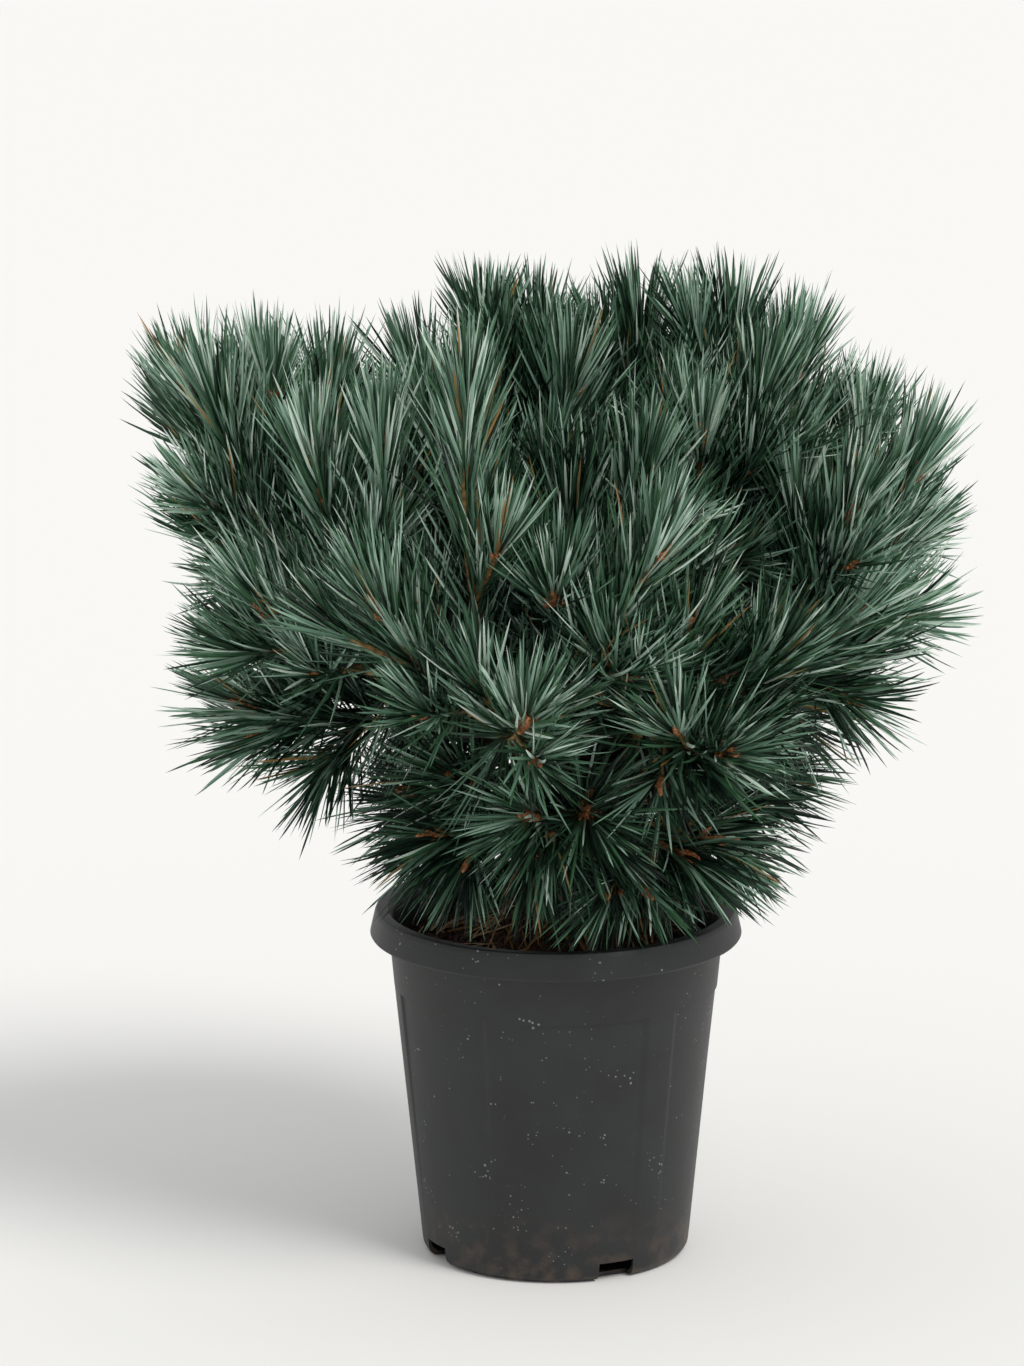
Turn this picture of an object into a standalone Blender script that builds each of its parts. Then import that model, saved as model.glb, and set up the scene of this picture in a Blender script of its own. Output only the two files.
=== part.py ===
"""Potted watereri scots pine: a young blue-green pine in a black nursery pot.

The origin is the centre of the pot's flat underside, +Z is up and the front of
the plant looks along -Y. Lengths are metres and angles are degrees.
An azimuth turns from +X towards +Y, and a rise is measured up from level.
"""
import math
import random

import bmesh
import bpy
import numpy as np
from mathutils import Vector

# Touching meshes keep this gap, and points of one skin this close are one.
GAP = 0.0003
WELD = 0.000003

# Pot: a turned container of thin moulded plastic.
POT_HEIGHT = 0.206
POT_FOOT_RADIUS = 0.0775
POT_DRAFT = 0.0975            # growth of the radius for each metre of height
POT_WALL = 0.0018
POT_FLOOR = 0.0025
POT_CORNER = 0.006            # round between underside and wall
POT_SIDES = 48
BAND_FOOT = 0.160             # the plain band under the rim starts here
BAND_STEP = 0.0012            # the band stands this far out of the panels
PANEL_COUNT = 6
PANEL_FOOT = 0.014
PANEL_TURN = -56.0            # azimuth of the right edge of the front panel
RIM_HEIGHT = 0.0162
RIM_CREST_RADIUS = 0.1015
RIM_LIP_RADIUS = 0.108
RIM_SKIN = 0.002
NOTCH_COUNT = 4
NOTCH_TURN = -63.0            # azimuth of the drain notch that shows
NOTCH_WIDTH = 0.022
NOTCH_HEIGHT = 0.011
NOTCH_INNER_RADIUS = 0.068

# Peat: fills the pot to below its rim and is heaped round the stem.
PEAT_EDGE = 0.184
PEAT_TOP = 0.2262
PEAT_SIDES = 32
PEAT_CORNER = 0.007
HEAP_RADIUS = 0.072
HEAP_FLAT_RADIUS = 0.022

# Trunk: short, leaning a little, flared at its foot.
TRUNK_FOOT = Vector((0.022, 0.002, PEAT_TOP + GAP))
TRUNK_AZIMUTH = 170.0
TRUNK_RISE = 82.0
TRUNK_LIFT = 12.0             # how much a limb's rise grows along its length
TRUNK_LENGTH = 0.115
TRUNK_RADIUS = 0.0120
TRUNK_TIP_SHARE = 0.72        # tip radius over radius above the flare
FLARE = 0.65                  # extra radius at the foot, as a share
FLARE_HEIGHT = 0.014
TRUNK_SIDES = 12
TRUNK_STEPS = 9

# Boughs: one tapering limb each, curving upwards.
BOUGH_RADIUS = 0.0056
BOUGH_TIP_RADIUS = 0.0042
BOUGH_START = 0.5             # a bough's axis starts this far out in the trunk
BOUGH_LIFT = 22.0
BOUGH_SIDES = 7
BOUGH_STEPS = 4

# Shoots: each mass is a stem that branches into shoots full of needles.
STEM_LENGTH = 0.012
STEM_RADIUS = 0.0040
STEM_SIDES = 6
SHOOT_RADIUS = 0.0030
SHOOT_TIP_RADIUS = 0.0018
SHOOT_SUNK = 0.0048           # how deep a shoot is rooted in its stem
SHOOT_LIFT = 26.0
SHOOT_STEPS = 3
FILL_LENGTH = 0.078
FILL_TRIES = 60
SHOOT_SPACING = 0.030         # least distance to another mass's shoots
LIMB_SPACING = 0.016          # least distance of a dealt shoot to a limb

# Sprays: a slim core along each shoot, with needles standing out of it.
CORE_RADIUS = 0.019
CORE_SIDES = 6
CORE_STARTS = 0.20
CORE_SHAPE = ((0.20, 0.35), (0.50, 0.85), (0.85, 1.0), (1.0, 0.75))
CORE_NOSE = 0.034             # how far a core runs on past the bud
CORE_LEAST = 0.0042           # a shoot with less room than this has no core
NEEDLE_LENGTH = 0.063
NEEDLE_RADIUS = 0.0034        # larger than life, as each stands for several
NEEDLE_PITCH = 0.0130
TIP_NEEDLES = 5
TIP_STARTS = 0.88             # needles round the bud leave the shoot from here
TIP_SHARE = 0.82              # and are this much of the others' length
OPEN_AT_FOOT = 58.0           # angle between needle and shoot
OPEN_AT_TIP = 30.0
GOLDEN_TURN = 137.508
NEEDLE_CLEARANCE = 0.0007
NEEDLE_SAMPLES = 36
FUSE_TRIES = 8
FUSE_TURN = 11.0
SEED = 41

# Each row is one bough and the mass of needles at its tip: name, place up the
# trunk as a share, azimuth, rise and length of the bough, then how far the
# needles droop, how many shoots are dealt by the rule, and the shoots whose
# buds show, as azimuth, rise and length.
LIMBS = (
    ("front", 0.42, 245, 31, 0.101, 0.0, 2,
     ((221, 82, 0.194), (210, 44, 0.109), (333, 49, 0.149))),
    ("front_right", 0.36, 295, 38, 0.090, 0.1, 2,
     ((304, 56, 0.076), (340, 27, 0.083), (248, 43, 0.073))),
    ("centre_front", 0.82, 265, 60, 0.057, 0.0, 1,
     ((276, 66, 0.073), (331, 60, 0.104), (186, 63, 0.101))),
    ("left_front", 0.54, 201, 30, 0.110, 0.0, 2,
     ((222, 66, 0.151), (203, 31, 0.091), (262, 72, 0.152))),
    ("left", 0.72, 180, 32, 0.153, 0.0, 0,
     ((198, 59, 0.127), (172, 54, 0.125), (135, 62, 0.112), (204, 26, 0.067),
      (84, 76, 0.104))),
    ("left_low", 0.34, 171, 25, 0.098, 0.2, 1,
     ((180, 32, 0.087), (199, 9, 0.092), (146, 50, 0.081))),
    ("crown", 1.00, 166, 76, 0.080, 0.0, 1,
     ((169, 78, 0.115), (73, 78, 0.098), (166, 50, 0.097), (315, 67, 0.092))),
    ("crown_right", 0.90, 48, 67, 0.092, 0.0, 2,
     ((121, 75, 0.088), (21, 83, 0.108), (320, 59, 0.076))),
    ("right_top", 0.76, 9, 56, 0.116, 0.0, 2,
     ((344, 67, 0.092), (51, 74, 0.115), (15, 59, 0.111), (270, 58, 0.076))),
    ("right", 0.62, 355, 37, 0.117, 0.0, 2,
     ((6, 44, 0.123), (322, 48, 0.096), (27, 56, 0.120))),
    ("right_low", 0.50, 335, 34, 0.096, 0.1, 0,
     ((348, 31, 0.087), (0, 13, 0.073), (31, -8, 0.059), (292, 27, 0.060),
      (10, 38, 0.120))),
    ("low_left", 0.19, 228, 20, 0.044, 0.6, 0,
     ((212, -3, 0.052), (287, -13, 0.034), (164, 8, 0.058), (193, 38, 0.049))),
    ("low_front", 0.28, 262, 18, 0.052, 0.5, 1,
     ((240, 8, 0.040), (285, 12, 0.045))),
    ("low_right", 0.18, 311, 19, 0.030, 0.6, 1,
     ((313, -14, 0.038), (342, -7, 0.039), (13, 12, 0.058))),
    ("right_under", 0.26, 12, 20, 0.050, 0.4, 1,
     ((352, 14, 0.038), (40, 18, 0.046))),
    ("back", 0.68, 94, 40, 0.107, 0.0, 3,
     ((96, 60, 0.092), (45, 27, 0.087), (133, 32, 0.096), (87, -7, 0.086))),
    ("back_left", 0.58, 141, 31, 0.120, 0.0, 3,
     ((142, 55, 0.098), (140, 13, 0.087), (94, 9, 0.066))),
    ("back_right", 0.48, 45, 37, 0.110, 0.0, 3,
     ((20, 52, 0.095), (33, 14, 0.086), (85, 23, 0.065))),
    ("back_low", 0.30, 92, 29, 0.059, 0.5, 2,
     ((135, 15, 0.059), (38, 10, 0.058))),
)


def clear_scene():
    for old in list(bpy.data.objects):
        bpy.data.objects.remove(old, do_unlink=True)


def finish(name, colour, roughness):
    """A plain material with one colour, given as linear values."""
    material = bpy.data.materials.new(name)
    material.use_nodes = True
    shader = material.node_tree.nodes["Principled BSDF"]
    shader.inputs["Base Color"].default_value = (*colour, 1.0)
    shader.inputs["Roughness"].default_value = roughness
    shader.inputs["Metallic"].default_value = 0.0
    return material


def add_object(name, points, faces, place, material):
    """One object whose origin is at place, from points in world space."""
    mesh = bpy.data.meshes.new(name)
    mesh.from_pydata([tuple(Vector(p) - place) for p in points], [], faces)
    mesh.validate()
    body = bmesh.new()
    body.from_mesh(mesh)
    bmesh.ops.recalc_face_normals(body, faces=body.faces)
    body.to_mesh(mesh)
    body.free()
    mesh.materials.append(material)
    item = bpy.data.objects.new(name, mesh)
    item.location = place
    bpy.context.scene.collection.objects.link(item)
    return item


def shade_round(item, angle=35.0):
    item.data.shade_smooth()
    item.data.set_sharp_from_angle(angle=math.radians(angle))


def direction(azimuth, rise):
    turn = math.radians(azimuth)
    tilt = math.radians(rise)
    level = math.cos(tilt)
    return Vector((math.cos(turn) * level, math.sin(turn) * level, math.sin(tilt)))


def rings_solid(rings):
    """Points and faces of a closed skin over rings that all have one size.

    A ring of one point closes an end to a tip. A full ring at an end is capped.
    """
    points = [p for ring in rings for p in ring]
    starts = np.cumsum([0] + [len(ring) for ring in rings])
    faces = []
    for lower, upper, a, b in zip(rings, rings[1:], starts, starts[1:]):
        sides = max(len(lower), len(upper))
        for k in range(sides):
            n = (k + 1) % sides
            if len(lower) == 1:
                faces.append((a, b + n, b + k))
            elif len(upper) == 1:
                faces.append((a + k, a + n, b))
            else:
                faces.append((a + k, a + n, b + n, b + k))
    if len(rings[0]) > 1:
        faces.append(tuple(range(starts[0], starts[1]))[::-1])
    if len(rings[-1]) > 1:
        faces.append(tuple(range(starts[-2], starts[-1])))
    return points, faces


def square_to(axis, turn):
    """A unit vector square to an axis, at a turn in radians round it."""
    helper = Vector((0, 0, 1)) if abs(axis.z) < 0.9 else Vector((0, 1, 0))
    first = axis.cross(helper).normalized()
    return first * math.cos(turn) + axis.cross(first) * math.sin(turn)


def ring_round(centre, axis, radius, sides, first):
    """A ring of points square to an axis, the first one towards first."""
    second = axis.cross(first)
    return [
        centre + (first * math.cos(a) + second * math.sin(a)) * radius
        for a in (2 * math.pi * k / sides for k in range(sides))
    ]


def level_ring(centre, radius, sides):
    return ring_round(centre, Vector((0, 0, 1)), radius, sides, Vector((1, 0, 0)))


def rings_along(stations, sides, spin):
    """Rings at stations of centre, heading and radius, with no twist between."""
    first = square_to(stations[0][1], spin)
    rings = []
    for centre, heading, radius in stations:
        first = (first - heading * first.dot(heading)).normalized()
        rings.append(ring_round(centre, heading, radius, sides, first))
    return rings


def limb_path(start, azimuth, rise, length, lift, steps):
    """Points along a limb whose rise grows by lift from its foot to its tip."""
    points = [start.copy()]
    for k in range(steps):
        bend = lift * ((k + 0.5) / steps - 0.5)
        points.append(points[-1] + direction(azimuth, rise + bend) * (length / steps))
    return points


def limb_solid(path, radii, sides, spin=0.0):
    """A round limb through the points of a path, with a flat cut at each end."""
    stations = []
    for k, centre in enumerate(path):
        before = path[max(k - 1, 0)]
        after = path[min(k + 1, len(path) - 1)]
        stations.append((centre, (after - before).normalized(), radii[k]))
    return rings_solid(rings_along(stations, sides, spin))


def along(path, share):
    """The point and the heading at a share of the way along a path."""
    place = min(share, 0.9999) * (len(path) - 1)
    k = int(place)
    return path[k].lerp(path[k + 1], place - k), (path[k + 1] - path[k]).normalized()


def shares(count):
    return [k / (count - 1) for k in range(count)]


# Pot

def panel_recess(azimuth, height):
    """How far the wall steps in at a panel: less and less towards the foot."""
    pitch = 360.0 / PANEL_COUNT
    rib = 360.0 / POT_SIDES
    turn = (azimuth - PANEL_TURN + 0.01) % pitch
    inside = rib * 1.5 < turn < pitch - rib * 0.5
    fade = (height - PANEL_FOOT) / (BAND_FOOT - PANEL_FOOT)
    return BAND_STEP * fade if inside and fade > 0 else 0.0


def pot_wall(height):
    """The outer radius of the body, ribs and band at a height."""
    return POT_FOOT_RADIUS + POT_DRAFT * height + BAND_STEP * min(height / BAND_FOOT, 1.0)


def pot_inside(height):
    return POT_FOOT_RADIUS + POT_DRAFT * height - POT_WALL


def pot_profile():
    """Radius, height and whether panels show, from the underside to the floor."""
    rim_foot = POT_HEIGHT - RIM_HEIGHT
    rim_roof = POT_HEIGHT - RIM_SKIN * 1.6
    corner = [
        (pot_wall(0) - POT_CORNER * (1 - math.sin(a)), POT_CORNER * (1 - math.cos(a)), 0)
        for a in (math.radians(d) for d in (0, 45, 85))
    ]
    wall = [
        (pot_wall(PANEL_FOOT), PANEL_FOOT, 1),
        (pot_wall(BAND_FOOT), BAND_FOOT, 1),
        (pot_wall(BAND_FOOT), BAND_FOOT + 0.0008, 0),
        (pot_wall(rim_roof - 0.003), rim_roof - 0.003, 0),
    ]
    rim = [
        (RIM_CREST_RADIUS + 0.0015, rim_roof, 0),
        (RIM_LIP_RADIUS - RIM_SKIN * 1.2, rim_foot + 0.002, 0),
        (RIM_LIP_RADIUS - 0.0006, rim_foot, 0),
        (RIM_LIP_RADIUS, rim_foot + 0.0012, 0),
        (RIM_LIP_RADIUS - 0.0018, rim_foot + 0.005, 0),
        (RIM_LIP_RADIUS - 0.0026, POT_HEIGHT - 0.0035, 0),
        (RIM_LIP_RADIUS - 0.0040, POT_HEIGHT - 0.0010, 0),
        (RIM_CREST_RADIUS, POT_HEIGHT, 0),
        (RIM_CREST_RADIUS - 0.0030, POT_HEIGHT - 0.0010, 0),
        (pot_inside(POT_HEIGHT - 0.005), POT_HEIGHT - 0.005, 0),
    ]
    inside = [
        (pot_inside(POT_CORNER), POT_CORNER, 0),
        (pot_inside(0) - 0.003, POT_FLOOR, 0),
    ]
    return corner + wall + rim + inside


def build_pot(material):
    rings = [[Vector((0, 0, 0))]]
    for radius, height, panelled in pot_profile():
        ring = []
        for k in range(POT_SIDES):
            azimuth = PANEL_TURN + 360.0 * k / POT_SIDES
            recess = panel_recess(azimuth, height) if panelled else 0.0
            turn = math.radians(azimuth)
            reach = radius - recess
            ring.append(Vector((reach * math.cos(turn), reach * math.sin(turn), height)))
        rings.append(ring)
    rings.append([Vector((0, 0, POT_FLOOR))])
    pot = add_object("pot", *rings_solid(rings), Vector((0, 0, 0)), material)
    for k in range(NOTCH_COUNT):
        cut_notch(pot, k, NOTCH_TURN + 360.0 * k / NOTCH_COUNT)
    shade_round(pot)
    return pot


def cut_notch(pot, number, azimuth):
    """Cuts a drain slot through the foot of the wall, open below."""
    reach = pot_wall(0) + 0.01 - NOTCH_INNER_RADIUS
    middle = NOTCH_INNER_RADIUS + reach / 2
    block = bmesh.new()
    bmesh.ops.create_cube(block, size=1.0)
    size = (reach, NOTCH_WIDTH, NOTCH_HEIGHT * 2)
    bmesh.ops.scale(block, vec=size, verts=block.verts)
    top_edges = [e for e in block.edges
                 if all(v.co.z > 0 for v in e.verts)
                 and abs(e.verts[0].co.y - e.verts[1].co.y) < 1e-6]
    bmesh.ops.bevel(block, geom=top_edges, offset=0.0015, segments=1, affect="EDGES")
    mesh = bpy.data.meshes.new("notch_cutter")
    block.to_mesh(mesh)
    block.free()
    cutter = bpy.data.objects.new("notch_cutter_%d" % number, mesh)
    cutter.rotation_euler.z = math.radians(azimuth)
    cutter.location = direction(azimuth, 0) * middle
    bpy.context.scene.collection.objects.link(cutter)
    apply_boolean(pot, "DIFFERENCE", cutter)
    bpy.data.objects.remove(cutter, do_unlink=True)


def apply_boolean(item, operation, other, solver="EXACT"):
    """Runs one Boolean against an object or a collection and keeps its result."""
    boolean = item.modifiers.new("boolean", "BOOLEAN")
    boolean.operation = operation
    boolean.solver = solver
    if isinstance(other, bpy.types.Collection):
        boolean.operand_type = "COLLECTION"
        boolean.collection = other
    else:
        boolean.object = other
    bpy.context.view_layer.update()
    reading = item.evaluated_get(bpy.context.evaluated_depsgraph_get())
    joined = bpy.data.meshes.new_from_object(reading)
    item.modifiers.remove(boolean)
    old = item.data
    item.data = joined
    bpy.data.meshes.remove(old)
    item.data.name = item.name


# Peat

def peat_height(x, y):
    """Height of the peat: heaped round the trunk and level out to the wall."""
    distance = math.hypot(x - TRUNK_FOOT.x, y - TRUNK_FOOT.y)
    t = (distance - HEAP_FLAT_RADIUS) / (HEAP_RADIUS - HEAP_FLAT_RADIUS)
    t = min(max(t, 0.0), 1.0)
    return PEAT_TOP + (PEAT_EDGE - PEAT_TOP) * t * t * (3.0 - 2.0 * t)


def build_peat(material):
    foot = Vector((TRUNK_FOOT.x, TRUNK_FOOT.y, 0))
    edge = pot_inside(PEAT_EDGE) - GAP
    floor = POT_FLOOR + GAP
    low_edge = pot_inside(floor + PEAT_CORNER) - GAP
    circles = [
        (low_edge - PEAT_CORNER, floor),
        (low_edge, floor + PEAT_CORNER),
        (edge, PEAT_EDGE),
    ]
    rings = [[Vector((0, 0, floor))]]
    rings += [level_ring(Vector((0, 0, z)), r, PEAT_SIDES) for r, z in circles]
    for share in (0.86, 0.70, 0.56, 0.44, 0.33, HEAP_FLAT_RADIUS / edge):
        centre = foot * (1.0 - share)
        ring = level_ring(centre, edge * share, PEAT_SIDES)
        for point in ring:
            point.z = peat_height(point.x, point.y)
        rings.append(ring)
    rings.append([Vector((foot.x, foot.y, PEAT_TOP))])
    peat = add_object("peat", *rings_solid(rings), Vector((0, 0, floor)), material)
    shade_round(peat, 50.0)
    return peat


# Trunk and boughs

def trunk_radius(share):
    taper = 1.0 + (TRUNK_TIP_SHARE - 1.0) * share
    flare = FLARE * math.exp(-share * TRUNK_LENGTH / FLARE_HEIGHT)
    return TRUNK_RADIUS * (taper + flare)


def trunk_path():
    return limb_path(TRUNK_FOOT, TRUNK_AZIMUTH, TRUNK_RISE, TRUNK_LENGTH,
                     TRUNK_LIFT, TRUNK_STEPS)


def trunk_solid(extra):
    """The trunk's skin, thicker by extra, with a level cut at its foot."""
    path = trunk_path()
    radii = [trunk_radius(s) + extra for s in shares(TRUNK_STEPS + 1)]
    if extra:
        path[0] = path[0] - Vector((0, 0, extra))
        path[-1] = path[-1] + (path[-1] - path[-2]).normalized() * extra
    points, faces = limb_solid(path, radii, TRUNK_SIDES)
    for point in points[:TRUNK_SIDES]:
        point.z = path[0].z
    return points, faces


def bough_path(row):
    """A bough leaves the trunk from inside its bark, on the side it grows to."""
    height, azimuth, rise, length = row[1:5]
    centre, _ = along(trunk_path(), height)
    start = centre + direction(azimuth, 0) * trunk_radius(height) * BOUGH_START
    return limb_path(start, azimuth, rise, length, BOUGH_LIFT, BOUGH_STEPS)


def build_bough(row, material):
    path = bough_path(row)
    radii = [BOUGH_RADIUS + (BOUGH_TIP_RADIUS - BOUGH_RADIUS) * s
             for s in shares(BOUGH_STEPS + 1)]
    bough = add_object("bough_" + row[0], *limb_solid(path, radii, BOUGH_SIDES),
                       path[0], material)
    cutter = add_object("trunk_room", *trunk_solid(GAP), TRUNK_FOOT, material)
    apply_boolean(bough, "DIFFERENCE", cutter)
    bpy.data.objects.remove(cutter, do_unlink=True)
    shade_round(bough)
    return bough


# Masses of needles

class Mass:
    """The stem and shoots of one mass, before any needle is placed."""

    def __init__(self, row):
        self.name = row[0]
        self.azimuth = row[2]
        self.droop = row[5]
        self.dealt = row[6]
        bough = bough_path(row)
        self.heading = (bough[-1] - bough[-2]).normalized()
        self.foot = bough[-1] + self.heading * GAP
        self.whorl = self.foot + self.heading * STEM_LENGTH
        self.shoots = [self.shoot(*seen) for seen in row[7]]

    def shoot(self, azimuth, rise, length):
        return limb_path(self.whorl, azimuth, rise, length, SHOOT_LIFT, SHOOT_STEPS)

    def segments(self):
        """Start and end points of the stem and of every piece of the shoots."""
        pieces = [(self.foot, self.whorl)]
        for path in self.shoots:
            pieces += list(zip(path, path[1:]))
        return as_segments(pieces)


def as_segments(pieces):
    starts = np.array([tuple(a) for a, _ in pieces])
    ends = np.array([tuple(b) for _, b in pieces])
    return starts, ends


def distance_to(points, segments):
    """Distance of each point to the nearest of the segments."""
    starts, ends = segments
    run = ends - starts
    offset = points[:, None, :] - starts[None, :, :]
    share = (offset * run).sum(2) / (run * run).sum(1)
    near = starts + np.clip(share, 0.0, 1.0)[:, :, None] * run
    return np.linalg.norm(points[:, None, :] - near, axis=2).min(axis=1)


def samples(path, count):
    return np.array([tuple(along(path, s)[0]) for s in shares(count)])


def limb_segments():
    """Axes of the trunk and of the boughs."""
    pieces = list(zip(trunk_path(), trunk_path()[1:]))
    for row in LIMBS:
        path = bough_path(row)
        pieces += list(zip(path, path[1:]))
    return as_segments(pieces)


def deal_shoots(masses):
    """Adds shoots by a seeded rule where a mass still has room for them."""
    dice = random.Random(SEED)
    limbs = limb_segments()
    for mass in masses:
        others = [m for m in masses if m is not mass]
        wanted = mass.dealt
        for k in range(FILL_TRIES):
            azimuth = mass.azimuth + GOLDEN_TURN * k + dice.uniform(-20, 20)
            rise = dice.uniform(0, 75) - 45 * mass.droop
            length = FILL_LENGTH * dice.uniform(0.8, 1.2) * (1 - 0.4 * mass.droop)
            if wanted == 0:
                continue
            path = mass.shoot(azimuth, rise, length)
            trail = samples(path, 9)[3:]
            own = distance_to(trail[2:], mass.segments()).min()
            apart = min(distance_to(trail, m.segments()).min() for m in others)
            off_limbs = distance_to(trail, limbs).min()
            if own > SHOOT_SPACING and apart > SHOOT_SPACING and off_limbs > LIMB_SPACING:
                mass.shoots.append(path)
                wanted -= 1


def needle_headings(mass, path, start):
    """Root, heading and length of each needle on a shoot, by the growth rule."""
    dice = random.Random("%s %.5f" % (mass.name, path[-1].x))
    run = sum((b - a).length for a, b in zip(path, path[1:]))
    count = max(6, round(run * (TIP_STARTS - CORE_STARTS) / NEEDLE_PITCH))
    places = [CORE_STARTS + (TIP_STARTS - CORE_STARTS) * k / count for k in range(count)]
    places += [dice.uniform(TIP_STARTS, 0.98) for _ in range(TIP_NEEDLES)]
    for k, share in enumerate(places):
        root, axis = along(path, share)
        side = square_to(axis, math.radians(start + GOLDEN_TURN * k))
        opening = OPEN_AT_FOOT + (OPEN_AT_TIP - OPEN_AT_FOOT) * share
        length = NEEDLE_LENGTH * dice.uniform(0.85, 1.08)
        if share > TIP_STARTS:
            opening *= dice.uniform(0.5, 1.5)
            length *= TIP_SHARE
        opening = math.radians(opening * dice.uniform(0.85, 1.1))
        heading = axis * math.cos(opening) + side * math.sin(opening)
        heading.z -= mass.droop * dice.uniform(0.3, 1.0)
        yield root, heading.normalized(), length


def clear_of_pot(line, slack):
    """True where no point of a line is near the pot's wall or the peat."""
    for x, y, z in line:
        reach = math.hypot(x, y)
        above_peat = peat_height(x, y) + slack
        beside_wall = pot_inside(z) - slack < reach < RIM_LIP_RADIUS + slack
        if z < POT_HEIGHT + slack and beside_wall:
            return False
        if reach < RIM_LIP_RADIUS and z < above_peat:
            return False
    return True


def has_room(root, tip, mass, others, limbs):
    """True where a needle stays in its mass's space, off the limbs and the pot.

    A point belongs to the mass whose shoots are nearest. Moving by a distance
    changes the difference of two such distances by at most twice as much.
    """
    line = np.array([tuple(root.lerp(tip, s)) for s in shares(NEEDLE_SAMPLES)])
    slack = NEEDLE_RADIUS + (tip - root).length / NEEDLE_SAMPLES / 2
    own = distance_to(line, mass.segments())
    other = np.min([distance_to(line, m) for m in others], axis=0)
    if (other - own).min() < 2 * slack + NEEDLE_CLEARANCE:
        return False
    limb = distance_to(line[NEEDLE_SAMPLES // 8:], limbs)
    return limb.min() > BOUGH_RADIUS + slack and clear_of_pot(line, slack + GAP)


def needle_solid(root, tip, spin):
    """A slim three-sided blade from its root to its point."""
    axis = (tip - root).normalized()
    base = ring_round(root, axis, NEEDLE_RADIUS, 3, square_to(axis, spin))
    return rings_solid([base, [tip]])


def spare_round(path, others, limbs):
    """How thick a core may grow before it leaves its space or meets a limb."""
    trail = samples(path, 16)[3:]
    to_others = min(distance_to(trail, m).min() for m in others) / 2
    to_limbs = distance_to(trail, limbs).min() - BOUGH_RADIUS
    return min(to_others, to_limbs) - NEEDLE_CLEARANCE


def core_solid(path, spare, spin):
    """The core of a spray: a spindle round the leafy part of a shoot."""
    stations = []
    for share, fullness in CORE_SHAPE:
        centre, heading = along(path, share)
        stations.append((centre, heading, min(CORE_RADIUS * fullness, spare)))
    tip = path[-1] + heading * min(CORE_NOSE, spare)
    return rings_solid(rings_along(stations, CORE_SIDES, spin) + [[tip]])


def shoot_shapes(mass, path, others, limbs, turn):
    """Twig, core and needles of one shoot, each a closed solid."""
    radii = [SHOOT_RADIUS + (SHOOT_TIP_RADIUS - SHOOT_RADIUS) * s
             for s in shares(SHOOT_STEPS + 1)]
    rooted = [path[0] - mass.heading * SHOOT_SUNK] + path[1:]
    spins = random.Random(round(path[-1].z * 1e5))
    shapes = [limb_solid(rooted, radii, 3, spins.uniform(0, 2))]
    spare = spare_round(path, others, limbs)
    if spare > CORE_LEAST:
        shapes.append(core_solid(path, spare, spins.uniform(0, 1)))
    for root, heading, length in needle_headings(mass, path, turn):
        tip = root + heading * length
        if has_room(root, tip, mass, others, limbs):
            shapes.append(needle_solid(root, tip, spins.uniform(0, 2)))
    return shapes


def shells_of(skin):
    """The faces of a skin in groups that hang together across their edges."""
    left = set(skin.faces)
    shells = []
    while left:
        reached = [left.pop()]
        for face in reached:
            for edge in face.edges:
                near = [f for f in edge.link_faces if f in left]
                left.difference_update(near)
                reached += near
        shells.append(reached)
    return sorted(shells, key=len)


def clean_skin(item):
    """Fills sealed hollows and drops loose scraps, so that one skin is left.

    False where that skin would pinch shut once its closest points are one.
    """
    skin = bmesh.new()
    skin.from_mesh(item.data)
    bmesh.ops.triangulate(skin, faces=skin.faces)
    for shell in shells_of(skin)[:-1]:
        bmesh.ops.delete(skin, geom=shell, context="FACES")
    skin.to_mesh(item.data)
    bmesh.ops.remove_doubles(skin, verts=skin.verts, dist=WELD)
    bmesh.ops.dissolve_degenerate(skin, edges=skin.edges, dist=WELD)
    sound = all(len(e.link_faces) == 2 for e in skin.edges)
    sound = sound and len(shells_of(skin)) == 1
    skin.free()
    return sound


def fuse(name, shapes, place, material):
    """One object that is the union of closed solids, the first one its base."""
    item = add_object(name, *shapes[0], place, material)
    group = bpy.data.collections.new(name + "_parts")
    bpy.context.scene.collection.children.link(group)
    for number, shape in enumerate(shapes[1:]):
        part = add_object("%s_%d" % (name, number), *shape, place, material)
        bpy.context.scene.collection.objects.unlink(part)
        group.objects.link(part)
    apply_boolean(item, "UNION", group, solver="MANIFOLD")
    for part in list(group.objects):
        bpy.data.objects.remove(part, do_unlink=True)
    bpy.data.collections.remove(group)
    return item


def build_mass(mass, masses, limbs, material):
    """One mass, its needles turned a little further until they fuse cleanly."""
    others = [m.segments() for m in masses if m is not mass]
    stem = limb_solid([mass.foot, mass.whorl + mass.heading * STEM_RADIUS],
                      [STEM_RADIUS, STEM_RADIUS], STEM_SIDES)
    for attempt in range(FUSE_TRIES):
        shapes = [stem]
        for path in mass.shoots:
            shapes += shoot_shapes(mass, path, others, limbs, attempt * FUSE_TURN)
        item = fuse("needles_" + mass.name, shapes, mass.foot, material)
        if clean_skin(item) or attempt == FUSE_TRIES - 1:
            return item
        bpy.data.objects.remove(item, do_unlink=True)


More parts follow.
